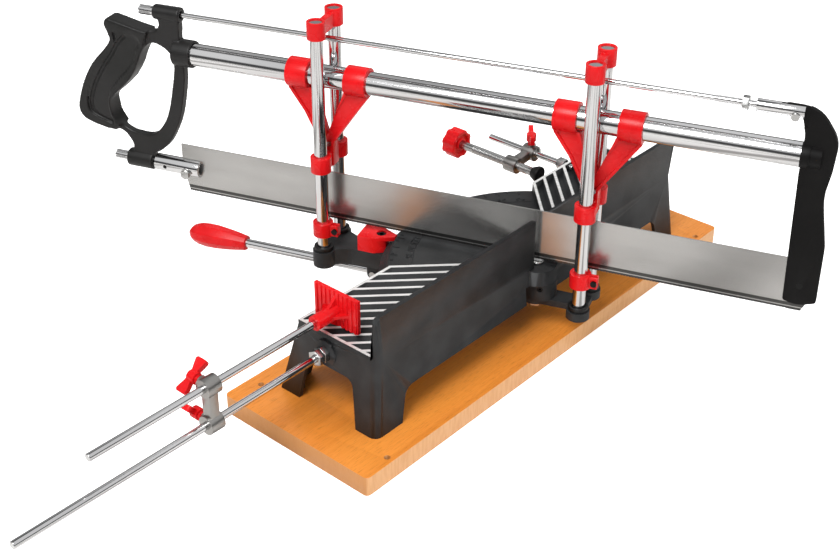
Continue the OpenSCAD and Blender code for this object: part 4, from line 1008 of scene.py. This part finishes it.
@dataclass
class SawHandle:
    """Moulded handle: a sunk panel with a groove on both sides, and softly rounded edges.

    Places are pairs of along and up in the saw's own directions, in millimetres.
    """

    node: bpy.types.Object
    face: float = 9.0 * MM
    panel_depth: float = 1.1 * MM
    groove_radius: float = 1.7 * MM
    voxel: float = 0.7 * MM
    passes: int = 5
    soft_passes: int = 50
    soft_radius: float = 10.0 * MM
    soft_gain: float = 1.6
    kept_faces: float = 0.45
    smooth_angle: float = 60.0
    groove: Tuple[Tuple[float, float], ...] = (
        (-371.0, 224.5),
        (-378.0, 217.0),
        (-386.2, 204.9),
        (-400.1, 185.1),
        (-410.6, 164.3),
        (-413.0, 151.7),
        (-408.5, 143.8),
        (-399.0, 139.8),
        (-392.6, 138.0),
    )
    crease: Tuple[Tuple[float, float], ...] = (
        (-394.4, 146.0),
        (-394.6, 159.8),
        (-389.1, 172.7),
        (-374.5, 189.2),
        (-364.2, 202.5),
        (-361.3, 212.2),
        (-357.0, 219.5),
    )
    soft_spots: Tuple[Tuple[float, float], ...] = (
        (-388.0, 232.0),
        (-380.0, 233.0),
        (-370.0, 231.0),
        (-360.0, 230.0),
        (-350.0, 228.0),
        (-351.0, 215.0),
        (-355.0, 203.0),
        (-364.0, 188.0),
        (-378.0, 172.0),
        (-386.0, 159.0),
        (-385.0, 146.0),
        (-378.0, 136.0),
        (-388.0, 131.0),
    )

    def upright(self, across: float) -> Matrix:
        """Lays a flat curve's X along the blade and its Y upwards.

        Args:
            across: Distance to the right of the blade.

        Returns:
            The matrix.
        """
        rows = (
            (0.0, 0.0, 1.0, across),
            (1.0, 0.0, 0.0, 0.0),
            (0.0, 1.0, 0.0, 0.0),
            (0.0, 0.0, 0.0, 1.0),
        )
        return Matrix.Rotation(SAW_TURN, 4, "Z") @ Matrix(rows)

    def cutter(
        self,
        places: Sequence[Tuple[float, float]],
        closed: bool,
        across: float,
    ) -> bpy.types.Object:
        """Makes a body to cut with: a prism from a closed line, a round bar from an open one.

        Args:
            places: The line's places.
            closed: Whether the line closes.
            across: Distance to the right of the blade.

        Returns:
            The cutter as a mesh.
        """
        curve = bpy.data.curves.new("cutter", "CURVE")
        curve.dimensions = "2D" if closed else "3D"
        if closed:
            curve.fill_mode = "BOTH"
            curve.extrude = self.panel_depth
        else:
            curve.fill_mode = "FULL"
            curve.bevel_depth = self.groove_radius
            curve.use_fill_caps = True
        line = curve.splines.new("BEZIER")
        line.bezier_points.add(len(places) - 1)
        line.use_cyclic_u = closed
        for point, place in zip(line.bezier_points, places):
            point.co = (place[0] * MM, place[1] * MM, 0.0)
            point.handle_left_type = "AUTO"
            point.handle_right_type = "AUTO"
        cutter = bpy.data.objects.new("cutter", curve)
        bpy.context.scene.collection.objects.link(cutter)
        activate(cutter)
        bpy.ops.object.convert(target="MESH")
        cutter = bpy.context.object
        cutter.matrix_world = self.upright(across)
        bpy.ops.object.transform_apply(location=True, rotation=True, scale=True)
        return cutter

    def cut(self, piece: bpy.types.Object, cutter: bpy.types.Object) -> None:
        """Takes a cutter's room out of a piece.

        Args:
            piece: The piece.
            cutter: The cutter, which is used up.
        """
        activate(piece)
        taken = piece.modifiers.new("cut", "BOOLEAN")
        taken.operation = "DIFFERENCE"
        taken.solver = "EXACT"
        taken.object = cutter
        bpy.ops.object.modifier_apply(modifier=taken.name)
        bpy.data.objects.remove(cutter)

    def soften(self, piece: bpy.types.Object) -> None:
        """Rounds the horn and the finger side more than the rest.

        Args:
            piece: The remeshed piece.
        """
        group = piece.vertex_groups.new(name="soft")
        spots = [saw_point(0.0, along * MM, up * MM) for along, up in self.soft_spots]
        across = saw_point(1.0, 0.0, 0.0)
        for corner in piece.data.vertices:
            flat = corner.co - across * corner.co.dot(across)
            distance = min((flat - spot).length for spot in spots)
            if distance < self.soft_radius:
                share = 1.0 - (distance / self.soft_radius) ** 2
                group.add([corner.index], min(1.0, self.soft_gain * share), "REPLACE")
        soft = piece.modifiers.new("soft", "SMOOTH")
        soft.iterations = self.soft_passes
        soft.vertex_group = group.name

    def build(self) -> bpy.types.Object:
        """Cuts, remeshes and smooths a copy of the node.

        Returns:
            The handle.
        """
        piece = merged_copy(self.node, "moulded")
        for side in (-1.0, 1.0):
            self.cut(piece, self.cutter(self.groove + self.crease, True, side * self.face))
            self.cut(piece, self.cutter(self.groove, False, side * (self.face - self.panel_depth / 2)))
        activate(piece)
        cells = piece.modifiers.new("cells", "REMESH")
        cells.mode = "VOXEL"
        cells.voxel_size = self.voxel
        bpy.ops.object.modifier_apply(modifier=cells.name)
        self.soften(piece)
        melt = piece.modifiers.new("melt", "SMOOTH")
        melt.iterations = self.passes
        thin = piece.modifiers.new("thin", "DECIMATE")
        thin.ratio = self.kept_faces
        return settle(piece, self.smooth_angle)


@dataclass
class LeverGrip:
    """Red grip with lengthwise facets and a small nub at its end.

    The profile is pairs of a share of the length and a radius in millimetres.
    """

    start: float = -271.5 * MM
    end: float = -329.7 * MM
    height: float = 35.0 * MM
    facets: int = 9
    hollow_share: float = 0.92
    ridge: float = 0.5 * MM
    ridge_steps: int = 2
    ridge_angle: float = 16.0
    smooth_angle: float = 25.0
    profile: Tuple[Tuple[float, float], ...] = (
        (0.0, 7.0),
        (0.04, 7.3),
        (0.16, 8.5),
        (0.32, 9.8),
        (0.5, 10.9),
        (0.66, 11.1),
        (0.8, 10.2),
        (0.9, 8.2),
        (0.955, 6.0),
        (0.975, 3.4),
        (1.0, 2.4),
    )

    def build(self) -> bpy.types.Object:
        """Extrudes the facets through the profile.

        Returns:
            The grip.
        """
        length = self.start - self.end
        deselect_all()
        radius = self.profile[0][1] * MM
        bpy.ops.mesh.primitive_circle_add(vertices=2 * self.facets, radius=radius, fill_type="NGON")
        grip = bpy.context.object
        grip.name = "lever_grip_faceted"
        bpy.ops.object.mode_set(mode="EDIT")
        bpy.ops.mesh.select_all(action="DESELECT")
        bpy.ops.object.mode_set(mode="OBJECT")
        for place, corner in enumerate(grip.data.vertices):
            corner.select = place % 2 == 0
        bpy.ops.object.mode_set(mode="EDIT")
        bpy.ops.transform.resize(value=(self.hollow_share, self.hollow_share, 1.0))
        bpy.ops.mesh.select_all(action="SELECT")
        bpy.ops.mesh.flip_normals()
        for low, high in zip(self.profile, self.profile[1:]):
            step = (high[0] - low[0]) * length
            ratio = high[1] / low[1]
            bpy.ops.mesh.extrude_region_move(TRANSFORM_OT_translate={"value": (0.0, 0.0, step)})
            bpy.ops.transform.resize(value=(ratio, ratio, 1.0))
        bpy.ops.mesh.select_all(action="SELECT")
        bpy.ops.mesh.normals_make_consistent(inside=False)
        bpy.ops.object.mode_set(mode="OBJECT")
        bevel = grip.modifiers.new("ridges", "BEVEL")
        bevel.width = self.ridge
        bevel.segments = self.ridge_steps
        bevel.limit_method = "ANGLE"
        bevel.angle_limit = radians(self.ridge_angle)
        place = Matrix.Rotation(SAW_TURN, 4, "Z") @ Matrix.Translation((0.0, self.start, self.height))
        towards_operator = Matrix.Rotation(radians(90.0), 4, "X")
        grip.matrix_world = place @ towards_operator
        return settle(grip, self.smooth_angle)


@dataclass
class Thread:
    """A helical thread round a rod."""

    name: str
    radius: float
    pitch: float
    turns: int
    place: Matrix
    steps: int = 20

    def build(self) -> bpy.types.Object:
        """Sweeps the thread's profile and moves it from +Z onto its rod.

        Returns:
            The thread.
        """
        deselect_all()
        bpy.ops.mesh.primitive_circle_add(
            vertices=3,
            radius=self.pitch / 2,
            location=(self.radius, 0.0, 0.0),
            rotation=(radians(90.0), 0.0, 0.0),
        )
        thread = bpy.context.object
        thread.name = self.name
        bpy.ops.object.transform_apply(location=True, rotation=True, scale=True)
        sweep = thread.modifiers.new("sweep", "SCREW")
        sweep.screw_offset = self.pitch
        sweep.iterations = self.turns
        sweep.steps = self.steps
        sweep.render_steps = self.steps
        bpy.ops.object.modifier_apply(modifier=sweep.name)
        bpy.ops.object.mode_set(mode="EDIT")
        bpy.ops.mesh.select_all(action="SELECT")
        bpy.ops.mesh.fill_holes(sides=4)
        bpy.ops.mesh.select_all(action="SELECT")
        bpy.ops.mesh.normals_make_consistent(inside=False)
        bpy.ops.object.mode_set(mode="OBJECT")
        thread.matrix_world = self.place
        return settle(thread)


def tension_thread() -> bpy.types.Object:
    """Makes the thread on the tension rod's far end."""
    place = along_saw(0.0, 129.0 * MM, 246.6 * MM)
    return Thread("tension_rod_thread", radius=2.3 * MM, pitch=0.9 * MM, turns=30, place=place).build()


def spindle_thread() -> bpy.types.Object:
    """Makes the thread on the work clamp's spindle."""
    along_y = Matrix.Rotation(radians(-90.0), 4, "X")
    place = Matrix.Translation((-122.51 * MM, -168.0 * MM, 77.5 * MM)) @ along_y
    return Thread("spindle_thread", radius=3.6 * MM, pitch=1.5 * MM, turns=44, place=place).build()


# Stage


@dataclass(frozen=True)
class SoftBox:
    """One lamp that looks at the saw."""

    name: str
    spot: Tuple[float, float, float]
    size: Tuple[float, float]
    power: float
    shiny: bool = False
    target: Tuple[float, float, float] = (0.0, 0.0, 0.1)

    def hang(self) -> None:
        """Hangs the lamp, and hides it from metal unless it is shiny."""
        data = bpy.data.lights.new(self.name, "AREA")
        data.shape = "RECTANGLE"
        data.size, data.size_y = self.size
        data.energy = self.power
        lamp = bpy.data.objects.new(self.name, data)
        lamp.location = self.spot
        lamp.visible_glossy = self.shiny
        aim = Vector(self.target) - Vector(self.spot)
        lamp.rotation_euler = aim.to_track_quat("-Z", "Y").to_euler()
        bpy.context.scene.collection.objects.link(lamp)


@dataclass(frozen=True)
class MirroredRoom:
    """White room with three dark zones, as metal mirrors it.

    Heights, sides and depths are parts of a direction of length one, pairs give
    where a zone starts and where it is full, and shades are the share of the
    light that a zone takes away.
    """

    horizon_height: float = 0.15
    horizon_half: float = 0.27
    horizon_shade: float = 0.9
    overhead_side: float = -0.13
    overhead_half: float = 0.36
    overhead_shade: float = 0.88
    overhead_rise: Tuple[float, float] = (0.6, 0.75)
    overhead_back: Tuple[float, float] = (0.05, 0.2)
    behind_side: float = -0.3
    behind_back: Tuple[float, float] = (0.35, 0.55)
    behind_shade: float = 0.42

    def brightness(self, tree: NodeTree) -> Value:
        """How bright the room is in each direction.

        Args:
            tree: The world's nodes.

        Returns:
            The brightness as a value.
        """
        way = tree.node("ShaderNodeTexCoord", {}, {}, "Generated")
        rise = tree.part(way, Axis.UP)
        side = tree.part(way, Axis.ACROSS)
        depth = tree.part(way, Axis.ALONG)
        back = 0.0 - depth
        across = side * cos(SAW_TURN) + depth * sin(SAW_TURN)
        horizon = (rise - self.horizon_height).apart(self.horizon_half)
        overhead = (across - self.overhead_side).apart(self.overhead_half)
        overhead = overhead * rise.ramp(*self.overhead_rise) * back.ramp(*self.overhead_back)
        behind = back.ramp(*self.behind_back) * (across < self.behind_side)
        bright = 1.0 - horizon * self.horizon_shade
        bright = bright * (1.0 - overhead * self.overhead_shade)
        return bright * (1.0 - behind * self.behind_shade)


@dataclass
class Studio:
    """Floor, lights and the camera of the photograph.

    The eye is in metres, and the turn in degrees about X, Y and Z.
    """

    image_width: int = 839
    image_height: int = 552
    focal_pixels: float = 1365.53
    centre_x: float = 428.09
    centre_y: float = 237.27
    sensor: float = 36.0
    eye: Tuple[float, float, float] = (0.7903, 0.5626, 0.6683)
    turn: Tuple[float, float, float] = (59.4706, -0.3645, 131.0098)
    floor_radius: float = 14.0
    floor_drop: float = 0.5 * MM
    sight: float = 50.0
    soft_light: float = 0.52
    lamps: Tuple[SoftBox, ...] = (
        SoftBox("key", (1.3, 0.2, 1.9), (1.0, 1.0), 41.0, True),
        SoftBox("fill", (-0.6, 1.9, 1.2), (1.4, 0.9), 17.0),
        SoftBox("back", (-1.2, -1.3, 1.3), (1.2, 0.8), 14.0),
    )

    def camera(self) -> None:
        """Makes the camera from the solved view of the photograph."""
        data = bpy.data.cameras.new("camera")
        data.sensor_width = self.sensor
        data.lens = self.focal_pixels * self.sensor / self.image_width
        data.shift_x = (self.image_width / 2 - self.centre_x) / self.image_width
        data.shift_y = (self.centre_y - self.image_height / 2) / self.image_width
        data.clip_end = self.sight
        camera = bpy.data.objects.new("camera", data)
        camera.location = self.eye
        camera.rotation_euler = Euler([radians(angle) for angle in self.turn], "XYZ")
        bpy.context.scene.collection.objects.link(camera)
        bpy.context.scene.camera = camera

    def floor(self) -> None:
        """Lays the pale floor under the board."""
        deselect_all()
        bpy.ops.mesh.primitive_circle_add(
            vertices=96,
            radius=self.floor_radius,
            fill_type="NGON",
            location=(0.0, 0.0, -self.floor_drop),
        )
        floor = bpy.context.object
        floor.name = "floor"
        dress(floor, FloorPaper("floor_paper").material())

    def world(self) -> None:
        """Makes the world: white to the camera, soft light, and a room for metal to mirror."""
        world = bpy.data.worlds.new("studio")
        world.use_nodes = True
        bpy.context.scene.world = world
        tree = NodeTree(world.node_tree)
        mirrored = tree.node("ShaderNodeBackground", {}, {"Strength": MirroredRoom().brightness(tree)})
        soft = tree.node("ShaderNodeBackground", {}, {"Color": WHITE, "Strength": self.soft_light})
        seen = tree.node("ShaderNodeBackground", {}, {"Color": WHITE, "Strength": 1.0})
        light = tree.node("ShaderNodeMixShader", {}, {0: tree.ray("Glossy"), 1: soft, 2: mirrored})
        both = tree.node("ShaderNodeMixShader", {}, {0: tree.ray("Camera"), 1: light, 2: seen})
        tree.tree.links.new(both.socket, tree.tree.nodes["World Output"].inputs[0])

    def build(self) -> None:
        """Sets up the whole stage."""
        scene = bpy.context.scene
        scene.view_settings.view_transform = "Standard"
        self.camera()
        self.floor()
        self.world()
        for lamp in self.lamps:
            lamp.hang()


def main() -> None:
    """Dresses the frame piece by piece."""
    logging.basicConfig(level=logging.INFO, format="%(name)s: %(message)s")
    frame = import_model()
    nodes = frame["nodes"]
    slots = {part["node"]: part["material_slot"] for part in frame["record"]["subparts"]}
    blade_low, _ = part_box("blade")
    finishes = build_finishes(blade_low.z)
    for name, node in nodes.items():
        dress(node, finishes[slots[name]])
        LOG.info("dressed %s in %s", name, slots[name])

    def carry(piece: bpy.types.Object, owner: str, replaced: bool = False) -> None:
        """Gives a new piece the body and slot of a node.

        Args:
            piece: The new piece.
            owner: The node whose body it rides on.
            replaced: Whether the piece takes the node's place.
        """
        dress(piece, finishes[slots[owner]])
        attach(piece, nodes[owner]["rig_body"])
        if replaced:
            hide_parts(owner)
        LOG.info("made %s: %d faces", piece.name, len(piece.data.polygons))

    for mark in DialScale(DIAL_TOP).build():
        carry(mark, "table_casting")
    carry(SawHandle(nodes["handle"]).build(), "handle", True)
    carry(LeverGrip().build(), "lever_grip", True)
    carry(tension_thread(), "tension_rod")
    carry(spindle_thread(), "clamp_spindle")
    for name, piece in RoundedPieces().build(nodes).items():
        dress(piece, finishes[slots[name]])
    Studio().build()


if __name__ == "__main__":
    main()
